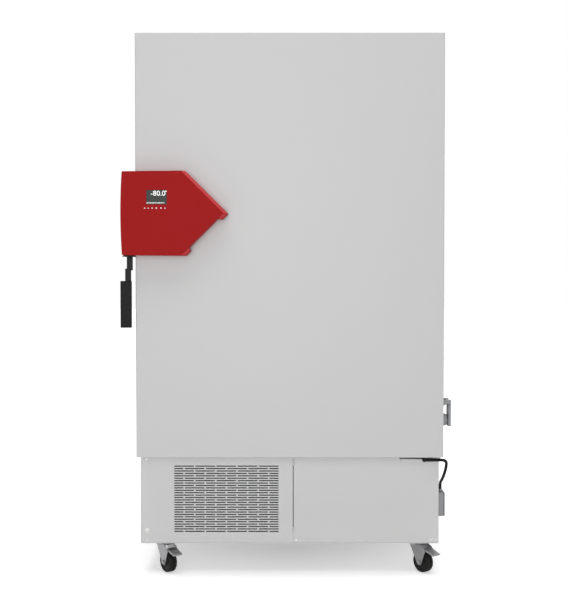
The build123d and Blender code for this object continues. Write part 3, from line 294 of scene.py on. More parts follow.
@dataclass(frozen=True)
class Finish:
    """A finish: the colour, gloss, grain and dust of one kind of surface."""

    name: str
    colour: Colour
    slot: str
    roughness: float = 0.5
    metallic: float = 0.0
    specular: float = 0.5
    grain_scale: float = 900.0
    grain_depth: float = 0.02
    stretch: Point = (1.0, 1.0, 1.0)
    waves: float = 0.2
    shade: float = 0.02
    shade_scale: float = 3.0
    spread: float = 0.06
    dust: float = 0.0
    glow: float = 0.0
    pores: bool = False

    def material(self) -> bpy.types.Material:
        """The finish as a material, made once and then shared.

        Returns:
            The material.
        """
        found = bpy.data.materials.get(self.name)
        if found is not None:
            return found
        made = bpy.data.materials.new(self.name)
        made.use_nodes = True
        tree = made.node_tree
        shader = tree.nodes["Principled BSDF"]
        shader.inputs["Metallic"].default_value = self.metallic
        shader.inputs["Specular IOR Level"].default_value = self.specular
        place = tree.nodes.new("ShaderNodeTexCoord").outputs["Object"]
        tone = tree.nodes.new("ShaderNodeGroup")
        tone.node_tree = GROUPS["tone"]
        tone.inputs["Color"].default_value = linear(self.colour)
        tone.inputs["Shade"].default_value = self.shade
        tone.inputs["Scale"].default_value = self.shade_scale
        tone.inputs["Roughness"].default_value = self.roughness
        tone.inputs["Roughness Spread"].default_value = self.spread
        tone.inputs["Dust"].default_value = self.dust
        relief = tree.nodes.new("ShaderNodeGroup")
        relief.node_tree = GROUPS["pores"] if self.pores else GROUPS["relief"]
        if not self.pores:
            relief.inputs["Stretch"].default_value = self.stretch
            relief.inputs["Waves"].default_value = self.waves
        relief.inputs["Scale"].default_value = self.grain_scale
        bump = tree.nodes.new("ShaderNodeBump")
        bump.inputs["Distance"].default_value = self.grain_depth * MM
        bump.inputs["Strength"].default_value = 1.0
        tree.links.new(place, tone.inputs["Vector"])
        tree.links.new(place, relief.inputs["Vector"])
        tree.links.new(tone.outputs["Color"], shader.inputs["Base Color"])
        tree.links.new(tone.outputs["Roughness"], shader.inputs["Roughness"])
        tree.links.new(relief.outputs["Height"], bump.inputs["Height"])
        tree.links.new(bump.outputs["Normal"], shader.inputs["Normal"])
        if self.glow:
            tree.links.new(tone.outputs["Color"], shader.inputs["Emission Color"])
            shader.inputs["Emission Strength"].default_value = self.glow
        return made


class Finishes:
    """Every finish of the freezer."""

    DOOR_PAINT = Finish("door_powder_coat", (190, 190, 190), "door_paint", roughness=0.42, grain_scale=700,
                        grain_depth=0.012, shade=0.008)
    CABINET_PAINT = Finish("cabinet_powder_coat", (191, 191, 191), "cabinet_paint", roughness=0.42,
                           grain_scale=700, grain_depth=0.012, shade=0.008)
    BASE_PAINT = Finish("base_powder_coat", (203, 203, 203), "base_paint", roughness=0.45, grain_scale=700,
                        grain_depth=0.014, shade=0.012, dust=0.10)
    HINGE_PAINT = Finish("hinge_coat", (196, 196, 198), "hinge_steel", roughness=0.4, grain_scale=800)
    RED_PLASTIC = Finish("red_moulding", (150, 2, 3), "red_plastic", roughness=0.55, specular=0.15,
                         grain_scale=1500, grain_depth=0.006, shade=0.03)
    # A lighter copy of the red moulding: a painted highlight for the housing's slanted bevel faces.
    RED_PAINTED_HIGHLIGHT = Finish("red_painted_highlight", (176, 40, 44), "red_plastic", roughness=0.4, specular=0.3,
                      grain_scale=1500, grain_depth=0.006, shade=0.03)
    BLACK_PLASTIC = Finish("black_moulding", (14, 14, 15), "black_plastic", roughness=0.55,
                           specular=0.15, grain_scale=1400, grain_depth=0.03, shade=0.06)
    DARK_METAL = Finish("black_coated_metal", (16, 16, 17), "dark_metal", roughness=0.42, specular=0.15,
                        grain_scale=900, grain_depth=0.012, shade=0.05)
    SCREEN = Finish("display_window", (40, 48, 44), "display_glass", roughness=0.25, specular=0.15,
                    grain_scale=60, grain_depth=0.002, shade=0.08, shade_scale=30)
    LIT_MARK = Finish("lit_mark", (238, 242, 240), "display_glass", roughness=0.4, glow=0.35, shade=0.02)
    PRINT_WHITE = Finish("white_print", (236, 232, 232), "red_plastic", roughness=0.5, grain_depth=0.004)
    FRAME_PLASTIC = Finish("white_frame_moulding", (226, 226, 223), "frame_plastic", roughness=0.4,
                           grain_scale=1200, grain_depth=0.015, shade=0.015)
    INNER_PLASTIC = Finish("white_inner_moulding", (231, 231, 229), "inner_door_plastic", roughness=0.38,
                           grain_scale=1200, grain_depth=0.015, shade=0.015)
    CHAMBER_STEEL = Finish("brushed_chamber_steel", (196, 198, 200), "chamber_steel", roughness=0.32,
                           metallic=1.0, grain_scale=60, grain_depth=0.02, stretch=(1.0, 1.0, 40.0),
                           waves=0.05, shade=0.06, spread=0.14)
    BARE_STEEL = Finish("satin_steel", (186, 186, 186), "bare_steel", roughness=0.3, metallic=1.0,
                        grain_scale=120, grain_depth=0.01, stretch=(14.0, 1.0, 14.0), shade=0.06)
    ZINC = Finish("zinc_plate", (150, 150, 152), "zinc", roughness=0.34, metallic=0.9, grain_scale=320,
                  grain_depth=0.02, shade=0.16, shade_scale=40, spread=0.2, dust=0.1)
    FOAM = Finish("cream_foam", (240, 226, 180), "foam", roughness=0.85, grain_scale=420, grain_depth=0.3,
                  shade=0.08, shade_scale=12)
    FOIL = Finish("foil_panel", (196, 198, 202), "panel_foil", roughness=0.35, metallic=0.8, grain_scale=90,
                  grain_depth=0.25, shade=0.08)
    COPPER = Finish("drawn_copper", (196, 118, 82), "copper", roughness=0.3, metallic=1.0, grain_scale=200,
                    grain_depth=0.01, stretch=(1.0, 1.0, 20.0), shade=0.16, shade_scale=25)
    SEAL = Finish("dark_seal", (52, 54, 56), "gasket_rubber", roughness=0.62, grain_scale=1600,
                  grain_depth=0.02, shade=0.06)
    BUSH = Finish("bearing_plastic", (232, 232, 228), "bush_plastic", roughness=0.4)
    PORT = Finish("grey_port_moulding", (146, 148, 151), "port_plastic", roughness=0.42, grain_scale=1300,
                  grain_depth=0.02, shade=0.04)
    PLUG = Finish("soft_grey_rubber", (150, 150, 150), "plug_rubber", roughness=0.7, grain_scale=900,
                  grain_depth=0.04, shade=0.05)
    CABLE = Finish("black_sheath", (10, 10, 11), "cable_rubber", roughness=0.5, specular=0.15,
                   grain_scale=1800, grain_depth=0.02, shade=0.08)
    BOX = Finish("grey_box_moulding", (138, 140, 142), "box_plastic", roughness=0.42, grain_scale=1300,
                 grain_depth=0.03, shade=0.03)
    ALUMINIUM = Finish("mill_aluminium", (200, 202, 204), "aluminium", roughness=0.4, metallic=0.9,
                       grain_scale=80, grain_depth=0.02, stretch=(1.0, 1.0, 12.0), shade=0.08)
    FILTER = Finish("filter_mat", (92, 94, 97), "filter_mesh", roughness=0.9, grain_scale=320,
                    grain_depth=0.8, shade=0.1, pores=True)
    SHELL_BLACK = Finish("black_pressed_shell", (34, 34, 36), "compressor_black", roughness=0.35,
                         grain_scale=500, grain_depth=0.03, shade=0.08, dust=0.1)
    COVER = Finish("plain_sheet_cover", (160, 163, 167), "electronics_grey", roughness=0.42, metallic=0.7,
                   grain_scale=90, grain_depth=0.015, stretch=(1.0, 16.0, 1.0), shade=0.06)
    TREAD = Finish("dark_tread", (14, 14, 15), "wheel_grey", roughness=0.6, specular=0.15, grain_scale=700,
                   grain_depth=0.05, shade=0.12, shade_scale=30, dust=0.06)
    HUB = Finish("hub_moulding", (24, 24, 26), "wheel_grey", roughness=0.5, specular=0.15, grain_scale=900,
                 grain_depth=0.03, shade=0.08, dust=0.05)


NODE_FINISHES: dict[Finish, tuple[str, ...]] = {
    Finishes.CABINET_PAINT: ("outer_casing",),
    Finishes.CHAMBER_STEEL: ("inner_liner", "shelf_tracks", "shelves", "inner_door_hinges"),
    Finishes.FRAME_PLASTIC: ("breaker_frame",),
    Finishes.COPPER: ("evaporator_coil", "refrigerant_pipes"),
    Finishes.FOIL: ("vacuum_panels",),
    Finishes.FOAM: ("foam_insulation", "door_insulation"),
    Finishes.HINGE_PAINT: ("hinge_brackets",),
    Finishes.BARE_STEEL: ("latch_keeper",),
    Finishes.PORT: ("port_tube", "port_flap"),
    Finishes.PLUG: ("port_plug", "wall_bumpers"),
    Finishes.CABLE: ("door_cable",),
    Finishes.BLACK_PLASTIC: ("cable_elbow", "mains_inlet", "cascade_exchanger", "handle_collar",
                             "handle_grip", "fan_rotor", "rocker_switch"),
    Finishes.BOX: ("cable_box",),
    Finishes.BASE_PAINT: ("base_floor", "base_side_panels", "base_front_panel", "rear_panel", "vent_flap"),
    Finishes.ZINC: ("base_posts", "castor_plates", "castor_fork_fl", "castor_fork_fr", "castor_fork_rl",
                    "castor_fork_rr", "brake_pedal_fl", "brake_pedal_fr"),
    Finishes.FILTER: ("air_filter",),
    Finishes.ALUMINIUM: ("condenser",),
    Finishes.DARK_METAL: ("fan_shroud", "handle_lever"),
    Finishes.SHELL_BLACK: ("compressor_stage_1", "compressor_stage_2"),
    Finishes.COVER: ("electronics_box",),
    Finishes.DOOR_PAINT: ("door_skin",),
    Finishes.INNER_PLASTIC: ("door_inner_panel", "inner_door_1", "inner_door_2", "inner_door_3",
                             "inner_door_4"),
    Finishes.BUSH: ("hinge_bushes",),
    Finishes.SEAL: ("door_gasket",),
    Finishes.RED_PLASTIC: ("instrument_housing",),
    Finishes.SCREEN: ("display_screen",),
    Finishes.TREAD: ("castor_wheel_fl", "castor_wheel_fr", "castor_wheel_rl", "castor_wheel_rr"),
}


# Modelling


def choose(piece: Piece) -> None:
    """Selects one object and makes it the active one.

    Args:
        piece: The object.
    """
    bpy.ops.object.select_all(action="DESELECT")
    piece.select_set(True)
    bpy.context.view_layer.objects.active = piece


@contextmanager
def editing(piece: Piece, kind: str = "FACE") -> Iterator[bmesh.types.BMesh]:
    """Opens a piece in edit mode with nothing selected, and closes it again.

    Args:
        piece: The piece to edit.
        kind: What is selected in it: VERT, EDGE or FACE.

    Yields:
        The mesh in edit mode, for choosing faces, edges and points by place.
    """
    choose(piece)
    bpy.ops.object.mode_set(mode="EDIT")
    bpy.ops.mesh.select_mode(type=kind)
    bpy.ops.mesh.select_all(action="DESELECT")
    yield bmesh.from_edit_mesh(piece.data)
    bpy.ops.object.mode_set(mode="OBJECT")


def pick_faces(mesh: bmesh.types.BMesh, test: Callable[[Vector, Vector], bool]) -> None:
    """Selects the faces whose centre, in millimetres, and normal pass a test, and nothing else.

    Args:
        mesh: The mesh in edit mode.
        test: What a face's centre and normal must pass.
    """
    for face in mesh.faces:
        face.select_set(test(face.calc_center_median() / MM, face.normal))
    mesh.select_flush_mode()


def chamfer(piece: Piece, test: Callable[[Vector, Vector], bool], width: float, segments: int) -> None:
    """Rounds the edges whose two ends, in millimetres, pass a test.

    Args:
        piece: The piece whose edges are rounded.
        test: What an edge's two ends must pass.
        width: How wide the rounding is.
        segments: How many flats it has.
    """
    with editing(piece, "EDGE") as mesh:
        for edge in mesh.edges:
            edge.select_set(test(edge.verts[0].co / MM, edge.verts[1].co / MM))
        mesh.select_flush_mode()
        bpy.ops.mesh.bevel(offset=width * MM, segments=segments, affect="EDGES")


def extrude_by(step: Sequence[float]) -> None:
    """Extrudes what is selected in edit mode by a step in metres."""
    bpy.ops.mesh.extrude_region_move(TRANSFORM_OT_translate={"value": step})


def face_outwards() -> None:
    """Selects a whole mesh in edit mode and turns its faces outwards."""
    bpy.ops.mesh.select_all(action="SELECT")
    bpy.ops.mesh.normals_make_consistent(inside=False)


def from_level(level: float, span: Span) -> Span:
    """A pair of distances, counted from a level."""
    return (level + span[0], level + span[1])


def settle(name: str) -> Piece:
    """Names the new object and puts its place, turn and size into its mesh.

    Args:
        name: The piece's name.

    Returns:
        The piece, at the origin.
    """
    piece = bpy.context.object
    piece.name = piece.data.name = name
    choose(piece)
    bpy.ops.object.transform_apply(location=True, rotation=True, scale=True)
    return piece


def block(name: str, x: Span, y: Span, z: Span) -> Piece:
    """A box that fills the pairs x, y and z.

    Args:
        name: The piece's name.
        x: Its two ends across.
        y: Its two ends in depth.
        z: Its two heights.

    Returns:
        The box.
    """
    bpy.ops.mesh.primitive_cube_add(size=1, location=[sum(pair) / 2 * MM for pair in (x, y, z)])
    bpy.context.object.scale = [(pair[1] - pair[0]) * MM for pair in (x, y, z)]
    return settle(name)


def bar(name: str, along: Along, radius: float, start: Point, length: float, sides: int = 48) -> Piece:
    """A round or many-sided bar of one length that starts at a point and runs along an axis.

    Args:
        name: The piece's name.
        along: The axis that it follows.
        radius: Its radius.
        start: The middle of its first end.
        length: How long it is.
        sides: How many flats go round.

    Returns:
        The bar.
    """
    direction = Vector(along.value)
    middle = (Vector(start) + direction * length / 2) * MM
    bpy.ops.mesh.primitive_cylinder_add(
        vertices=sides, radius=radius * MM, depth=abs(length) * MM, location=middle,
        rotation=direction.to_track_quat("Z", "Y").to_euler(),
    )
    return settle(name)


def chain(name: str, points: Sequence[Point], closed: bool) -> Piece:
    """A run of edges through points, drawn by extruding one point along them.

    Args:
        name: The piece's name.
        points: The corners in order.
        closed: Whether the run is closed by a face.

    Returns:
        The run of edges, or the flat face.
    """
    bpy.ops.mesh.primitive_plane_add(size=MM, location=Vector(points[0]) * MM)
    piece = settle(name)
    with editing(piece, "VERT"):
        bpy.ops.mesh.select_all(action="SELECT")
        bpy.ops.mesh.merge(type="CENTER")
        for here, there in zip(points, points[1:]):
            step = (Vector(there) - Vector(here)) * MM
            extrude_by(step)
        bpy.ops.mesh.select_all(action="SELECT")
        if closed:
            bpy.ops.mesh.edge_face_add()
    return piece


def plate(name: str, outline: Sequence[Point], thickness: Point) -> Piece:
    """A flat outline given a thickness, with its faces turned outwards.

    Args:
        name: The piece's name.
        outline: The corners in order.
        thickness: The step from one face to the other.

    Returns:
        The plate.
    """
    piece = chain(name, outline, closed=True)
    with editing(piece):
        bpy.ops.mesh.select_all(action="SELECT")
        extrude_by(Vector(thickness) * MM)
        face_outwards()
    return piece


def turned(name: str, along: Along, centre: Point, profile: Sequence[Span], steps: int = 48) -> Piece:
    """A profile of radius and distance spun round an axis.

    Args:
        name: The piece's name.
        along: The axis that it is spun round.
        centre: The point on the axis that the distances start from.
        profile: Radius and distance along the axis of each corner.
        steps: How many flats go round.

    Returns:
        The spun piece, its seam and poles closed.
    """
    direction = Vector(along.value)
    side = direction.orthogonal().normalized()
    middle = Vector(centre)
    points = [middle + side * radius + direction * rise for radius, rise in profile]
    piece = chain(name, points, closed=False)
    with editing(piece, "VERT"):
        bpy.ops.mesh.select_all(action="SELECT")
        bpy.ops.mesh.spin(steps=steps, angle=2 * math.pi, center=middle * MM, axis=direction)
        bpy.ops.mesh.select_all(action="SELECT")
        bpy.ops.mesh.remove_doubles(threshold=0.02 * MM)
        face_outwards()
    return piece


def cut(piece: Piece, tool: Piece) -> None:
    """Takes one piece away from another and removes it.

    Args:
        piece: The piece that is cut.
        tool: The piece that is taken away.
    """
    choose(piece)
    modifier = piece.modifiers.new("cut", "BOOLEAN")
    modifier.operation = "DIFFERENCE"
    modifier.solver = "EXACT"
    modifier.object = tool
    bpy.ops.object.modifier_apply(modifier=modifier.name)
    bpy.data.objects.remove(tool)


def soften(piece: Piece, width: float, segments: int = 3, angle: float = 30) -> Piece:
    """Rounds the sharp edges of a piece and evens out its shading.

    Args:
        piece: The piece.
        width: How wide the rounding is.
        segments: How many flats it has.
        angle: The bend in degrees from which an edge is sharp.

    Returns:
        The same piece.
    """
    choose(piece)
    bevel = piece.modifiers.new("edges", "BEVEL")
    bevel.width = width * MM
    bevel.segments = segments
    bevel.limit_method = "ANGLE"
    bevel.angle_limit = math.radians(angle)
    bpy.ops.object.modifier_apply(modifier=bevel.name)
    return shade(piece)


def shade(piece: Piece, angle: float = 40) -> Piece:
    """Shades a piece smoothly over its small bends, weighted by the size of the faces.

    Args:
        piece: The piece.
        angle: The bend in degrees up to which it is smooth.

    Returns:
        The same piece.
    """
    choose(piece)
    bpy.ops.object.shade_smooth_by_angle(angle=math.radians(angle))
    weigh = piece.modifiers.new("shading", "WEIGHTED_NORMAL")
    weigh.keep_sharp = True
    bpy.ops.object.modifier_apply(modifier=weigh.name)
    return piece


def joined(name: str, parts: Sequence[Piece]) -> Piece:
    """Several pieces as one mesh.

    Args:
        name: The name of the whole.
        parts: The pieces, the first kept.

    Returns:
        The joined piece.
    """
    bpy.ops.object.select_all(action="DESELECT")
    for part in parts:
        part.select_set(True)
    bpy.context.view_layer.objects.active = parts[0]
    bpy.ops.object.join()
    parts[0].name = parts[0].data.name = name
    return parts[0]


def copied(piece: Piece, name: str, matrix: Matrix) -> Piece:
    """A copy of a piece with its own mesh, moved in its mesh by a matrix.

    Args:
        piece: The piece that is copied.
        name: The copy's name.
        matrix: The move, in metres.

    Returns:
        The copy.
    """
    twin = piece.copy()
    twin.data = piece.data.copy()
    twin.name = twin.data.name = name
    bpy.context.scene.collection.objects.link(twin)
    twin.data.transform(matrix)
    return twin


def shift(x: float, y: float, z: float) -> Matrix:
    """A move by millimetres, as a matrix in metres."""
    return Matrix.Translation(Vector((x, y, z)) * MM)


def dress(piece: Piece, finish: Finish, body: str, stands_for: Sequence[str] = ()) -> Piece:
    """Gives a piece its finish and its body.

    Args:
        piece: The finished mesh.
        finish: What its surface is.
        body: The body it rides on.
        stands_for: The frame's nodes that it replaces.

    Returns:
        The same piece.
    """
    piece.data.materials.clear()
    piece.data.materials.append(finish.material())
    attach(piece, body)
    if stands_for:
        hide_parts(*stands_for)
    LOG.info("piece %s rides on %s", piece.name, body)
    return piece


def dress_nodes() -> None:
    """Gives every node of the frame its finish."""
    for finish, names in NODE_FINISHES.items():
        for name in names:
            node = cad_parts[name]
            node.data.materials.clear()
            node.data.materials.append(finish.material())
            LOG.info("node %s is %s", name, finish.name)


# Sub-assemblies


@dataclass
class Cabinet:
    """The insulated cabinet: outer shell, frame round the mouth and wall bumpers."""

    half_width: float = 551
    front: float = -326.5
    back: float = 463.5
    bottom: float = 434
    top: float = 1962
    sheet: float = 1.5
    flange: float = 30
    frame_depth: float = 45
    recess_depth: float = 38
    half_recess: float = 447
    half_mouth: float = 425
    mouth: Span = (539, 1829)
    recess: Span = (517, 1851)
    fold: float = 2.0
    frame_edge: float = 1.5
    bumper_x: float = 380
    bumper_inset: float = 180
    bumper_taper: Point = (0.86, 1, 0.8)
    bumper_corner: float = 7
    bumper_edge: float = 2

    def shell(self) -> Piece:
        """The folded outer shell, open where the frame sits.

        Returns:
            The dressed shell.
        """
        piece = block("casing_shell", (-self.half_width, self.half_width), (self.front, self.back),
                      (self.bottom, self.top))
        soften(piece, self.fold)
        inner = self.half_width - self.sheet
        cut(piece, block("shell_space", (-inner, inner), (self.front + self.sheet, self.back - self.sheet),
                         (self.bottom + self.sheet, self.top - self.sheet)))
        side = self.half_width - self.flange
        cut(piece, block("shell_mouth", (-side, side), (self.front - CLEAR, self.front + CLEAR),
                         (self.bottom + self.flange, self.top - self.flange)))
        return dress(shade(piece), Finishes.CABINET_PAINT, Body.CABINET.value, ["outer_casing"])

    def mouth_frame(self) -> Piece:
        """The moulded frame with its stepped mouth.

        Returns:
            The dressed frame.
        """
        side = self.half_width - self.flange
        piece = block("mouth_frame", (-side, side), (self.front, self.front + self.frame_depth),
                      (self.bottom + self.flange, self.top - self.flange))
        step = self.front + self.recess_depth
        cut(piece, block("frame_step", (-self.half_recess, self.half_recess), (self.front - CLEAR, step),
                         self.recess))
        cut(piece, block("frame_mouth", (-self.half_mouth, self.half_mouth),
                         (self.front - CLEAR, self.front + self.frame_depth + CLEAR), self.mouth))
        soften(piece, self.frame_edge, segments=2)
        return dress(piece, Finishes.FRAME_PLASTIC, Body.CABINET.value, ["breaker_frame"])

    def bumpers(self, depth: float = 25, width: float = 70, height: float = 50) -> Piece:
        """Four soft blocks that keep the back clear of the wall.

        Args:
            depth: How far a block stands out.
            width: How wide it is.
            height: How high it is.

        Returns:
            The four blocks as one dressed piece.
        """
        first = block("wall_bumper", (-width / 2, width / 2), (0, depth), (-height / 2, height / 2))
        with editing(first) as mesh:
            pick_faces(mesh, lambda centre, normal: normal.y > 0.9)
            bpy.ops.transform.resize(value=self.bumper_taper)
        chamfer(first, lambda a, b: abs(a.y - b.y) > 1, self.bumper_corner, 5)
        soften(first, self.bumper_edge, segments=3, angle=50)
        made = [copied(first, f"bumper_{x}_{z}", shift(x, self.back, z))
                for x in (-self.bumper_x, self.bumper_x)
                for z in (self.bottom + self.bumper_inset, self.top - self.bumper_inset)]
        bpy.data.objects.remove(first)
        return dress(joined("wall_bumper_set", made), Finishes.PLUG, Body.CABINET.value, ["wall_bumpers"])

    def build(self) -> None:
        """Builds every piece of the cabinet."""
        self.shell()
        self.mouth_frame()
        self.bumpers()


@dataclass
class MainDoor:
    """The main door: a folded shell with a hinge pocket, and its seal."""

    half_width: float = 551
    front: float = -436.5
    back: float = -338.5
    bottom: float = 454
    top: float = 1968
    pocket_left: float = 395
    pocket_front: float = -412
    pocket_floor: float = 1950
    return_width: float = 18
    panel_depth: float = 2
    seal_outer: float = 485
    seal_span: Span = (479, 1889)
    seal_width: float = 30
    seal_strips: tuple[tuple[str, float, Span, float, int], ...] = (
        ("seal_foot", 0, (0, 3.5), 1.2, 3),
        ("seal_neck", 8, (2, 7.5), 1.5, 3),
        ("seal_lip", 3, (5.7, 11.7), 2.6, 4),
    )
    front_edge: float = 4
    edge: float = 1.2

    def shell(self) -> Piece:
        """The folded skin, with the pocket for the upper hinge and the tray for the inner panel.

        Returns:
            The dressed skin.
        """
        piece = block("door_shell", (-self.half_width, self.half_width), (self.front, self.back),
                      (self.bottom, self.top))
        chamfer(piece, lambda a, b: max(a.y, b.y) < self.front + 1 and abs(a.z - b.z) > 1,
                self.front_edge, 6)
        cut(piece, block("hinge_pocket", (self.pocket_left, self.half_width + CLEAR),
                         (self.pocket_front, self.back + CLEAR), (self.pocket_floor, self.top + CLEAR)))
        side = self.half_width - self.return_width
        cut(piece, block("panel_tray", (-side, side), (self.back - self.panel_depth, self.back + CLEAR),
                         (self.bottom + self.return_width, self.pocket_floor - self.return_width)))
        soften(piece, self.edge, segments=3, angle=50)
        return dress(piece, Finishes.DOOR_PAINT, Body.DOOR.value, ["door_skin"])

    def ring(self, name: str, outer: float, span: Span, width: float, y: Span) -> Piece:
        """A flat rectangular ring between two depths.

        Args:
            name: The piece's name.
            outer: Half the ring's width.
            span: Its two heights.
            width: How wide its band is.
            y: Its two depths.

        Returns:
            The ring.
        """
        low, high = span
        bpy.ops.mesh.primitive_plane_add(size=1, location=Vector((0, y[0], (low + high) / 2)) * MM,
                                         rotation=(math.pi / 2, 0, 0))
        bpy.context.object.scale = (2 * outer * MM, (high - low) * MM, 1)
        piece = settle(name)
        with editing(piece):
            bpy.ops.mesh.select_all(action="SELECT")
            bpy.ops.mesh.inset(thickness=width * MM)
            bpy.ops.mesh.delete(type="FACE")
            bpy.ops.mesh.select_all(action="SELECT")
            extrude_by((0, (y[1] - y[0]) * MM, 0))
            face_outwards()
        return piece

    def seal(self) -> Piece:
        """The seal: a mounting foot, a soft bellows and a rounded magnet strip.

        Returns:
            The dressed seal.
        """
        low, high = self.seal_span
        made = []
        for name, inset, rise, edge, segments in self.seal_strips:
            strip = self.ring(name, self.seal_outer - inset, (low + inset, high - inset),
                              self.seal_width - 2 * inset, from_level(self.back, rise))
            made.append(soften(strip, edge, segments))
        return dress(joined("door_seal", made), Finishes.SEAL, Body.DOOR.value, ["door_gasket"])

    def build(self) -> None:
        """Builds every piece of the main door."""
        self.shell()
        self.seal()


@dataclass
class ControlHousing:
    """The arrow-shaped housing on the door, with its display and keys."""

    left: float = -591
    bulge: float = 5
    tip: Span = (-218, 1325)
    top: float = 1474.5
    bottom: float = 1176
    front: float = -488.3
    door_front: float = -436.5
    door_edge: float = -551
    rear: float = -392
    wall: float = 3
    corner: float = 4.05
    rounded: tuple[int, ...] = (0, 5, 6, 7, 19)
    bevel: float = 16
    bevel_depth: float = 8
    grip_start: float = 21
    grip_end: float = 16
    grip_recess: float = 18
    window: tuple[Span, Span] = ((-504.5, -432.5), (1356, 1407))
    grip_slant: float = 5
    grip_lift: float = 3
    side_inset: float = 2
    side_steps: int = 12
    edge: float = 2.5
    # Normal ranges of the slanted bevel faces that take the lighter red as a painted highlight.
    highlight_normal_y: Span = (-0.9, -0.6)
    highlight_normal_x: float = 0.3
    window_depth: float = 12
    stem: Span = (-588, -554)
    stem_front: float = 8.5
    stem_floor: float = 8
    glass_margin: float = 2
    glass: Span = (3.1, 6)
    glass_edge: float = 0.3
    pane_gap: float = 0.05
    pane: Span = (1, 4)
    pane_edge: float = 0.5
    reading_place: tuple[Span, Span] = ((-488.5, -437.5), (1386.5, 1404))
    reading_front: float = 0.95
    figure_depth: float = 0.01
    scale: Span = (-502, -443)
    scale_count: int = 15
    scale_height: float = 1361.5
    scale_group: int = 5
    mark_half: float = 1.1
    mark_tall: float = 5.0
    mark_short: float = 3.2
    mark_depth: Span = (0.85, 1.0)
    ring_place: Span = (-435.3, 1402)
    ring_radius: float = 2.2
    ring_depth: float = 0.15
    key_signs: tuple[tuple[float, int], ...] = ((-510, 3), (-498, 3), (-484, 4), (-469, 32), (-453, 4),
                                                (-439, 3))
    key_height: float = 1343
    key_radius: float = 3.0
    round_key_radius: float = 2.4
    key_rise: float = 0.12
    key_depth: float = 0.3

    def outline(self) -> list[Point]:
        """The corners of the housing's face, with the bulged side as a short arc of points.

        Returns:
            The corners in order, at the housing's front.
        """
        tip_x, tip_z = self.tip
        rise, fall = self.top - tip_z, tip_z - self.bottom
        near = (tip_x - self.grip_start, tip_z - self.grip_start)
        far = (tip_x - fall + self.grip_end, self.bottom + self.grip_end)
        corners = [
            (tip_x - fall, self.bottom),
            far,
            (far[0] - self.grip_slant, far[1] + self.grip_recess - self.grip_slant),
            (near[0] - self.grip_recess + self.grip_lift, near[1] + self.grip_lift),
            near,
            (tip_x, tip_z),
            (tip_x - rise, self.top),
        ]
        high, low = self.top - self.side_inset, self.bottom + self.side_inset
        side = []
        for step in range(self.side_steps + 1):
            share = step / self.side_steps
            swell = self.bulge * (1 - (2 * share - 1) ** 2)
            side.append((self.left - swell, high + (low - high) * share))
        return [(x, self.front, z) for x, z in corners + side]

    def shell(self) -> Piece:
        """The hollow moulding that wraps round the edge of the door, with a painted highlight in lighter red
        on its slanted bevel faces.

        Returns:
            The dressed housing.
        """
        outline = self.outline()
        piece = chain("control_housing", outline, closed=True)
        with editing(piece, "VERT") as mesh:
            for point in mesh.verts:
                near = min(range(len(outline)), key=lambda i: (Vector(outline[i]) * MM - point.co).length)
                point.select_set(near in self.rounded)
            mesh.select_flush_mode()
            bpy.ops.mesh.bevel(offset=self.corner * MM, segments=6, affect="VERTICES")
        with editing(piece):
            bpy.ops.mesh.select_all(action="SELECT")
            depth = (self.rear - self.front) * MM
            extrude_by((0, depth, 0))
            face_outwards()
        for rise in (1, -1):
            inner = Vector((self.tip[0] - self.bevel, self.front, self.tip[1]))
            along = Vector((-1, 0, rise))
            down = Vector((self.tip[0], self.front + self.bevel_depth, self.tip[1])) - inner
            normal = along.cross(down).normalized()
            if normal.x < 0:
                normal.negate()
            with editing(piece):
                bpy.ops.mesh.select_all(action="SELECT")
                bpy.ops.mesh.bisect(plane_co=inner * MM, plane_no=normal, use_fill=True, clear_outer=True)
        soften(piece, self.edge, segments=4, angle=28)
        cut(piece, block("door_space", (self.door_edge, 0), (self.door_front, self.rear + FAR_CLEAR),
                         (self.bottom - FAR_CLEAR, self.top + FAR_CLEAR)))
        cut(piece, block("side_space", (self.left + self.wall, self.door_edge - self.wall),
                         (self.front + self.wall, self.rear + FAR_CLEAR),
                         (self.bottom + self.wall, self.top - self.wall)))
        cut(piece, block("window_space", self.window[0],
                         (self.front - CLEAR, self.front + self.window_depth), self.window[1]))
        cut(piece, block("stem_space", self.stem, (self.front + self.stem_front, self.rear + CLEAR),
                         (self.bottom - 2 * CLEAR, self.bottom + self.stem_floor)))
        dress(shade(piece, 30), Finishes.RED_PLASTIC, Body.DOOR.value, ["instrument_housing"])
        # The slanted bevel faces get the lighter red: a painted highlight, not a different moulding.
        piece.data.materials.append(Finishes.RED_PAINTED_HIGHLIGHT.material())
        for face in piece.data.polygons:
            gets_painted_highlight = face.normal.x > self.highlight_normal_x and self.highlight_normal_y[0] < face.normal.y < self.highlight_normal_y[1]
            face.material_index = int(gets_painted_highlight)
        return piece

    def screen(self) -> Piece:
        """The dark window behind the opening.

        Returns:
            The dressed window.
        """
        x, z = self.window
        margin, gap = self.glass_margin, self.pane_gap
        piece = soften(block("display_window", (x[0] - margin, x[1] + margin),
                             from_level(self.front, self.glass), (z[0] - margin, z[1] + margin)),
                       self.glass_edge, segments=2)
        pane = soften(block("display_pane", (x[0] + gap, x[1] - gap), from_level(self.front, self.pane),
                            (z[0] + gap, z[1] - gap)), self.pane_edge, segments=3)
        return dress(joined("display_window", [piece, pane]), Finishes.SCREEN, Body.DOOR.value,
                     ["display_screen"])

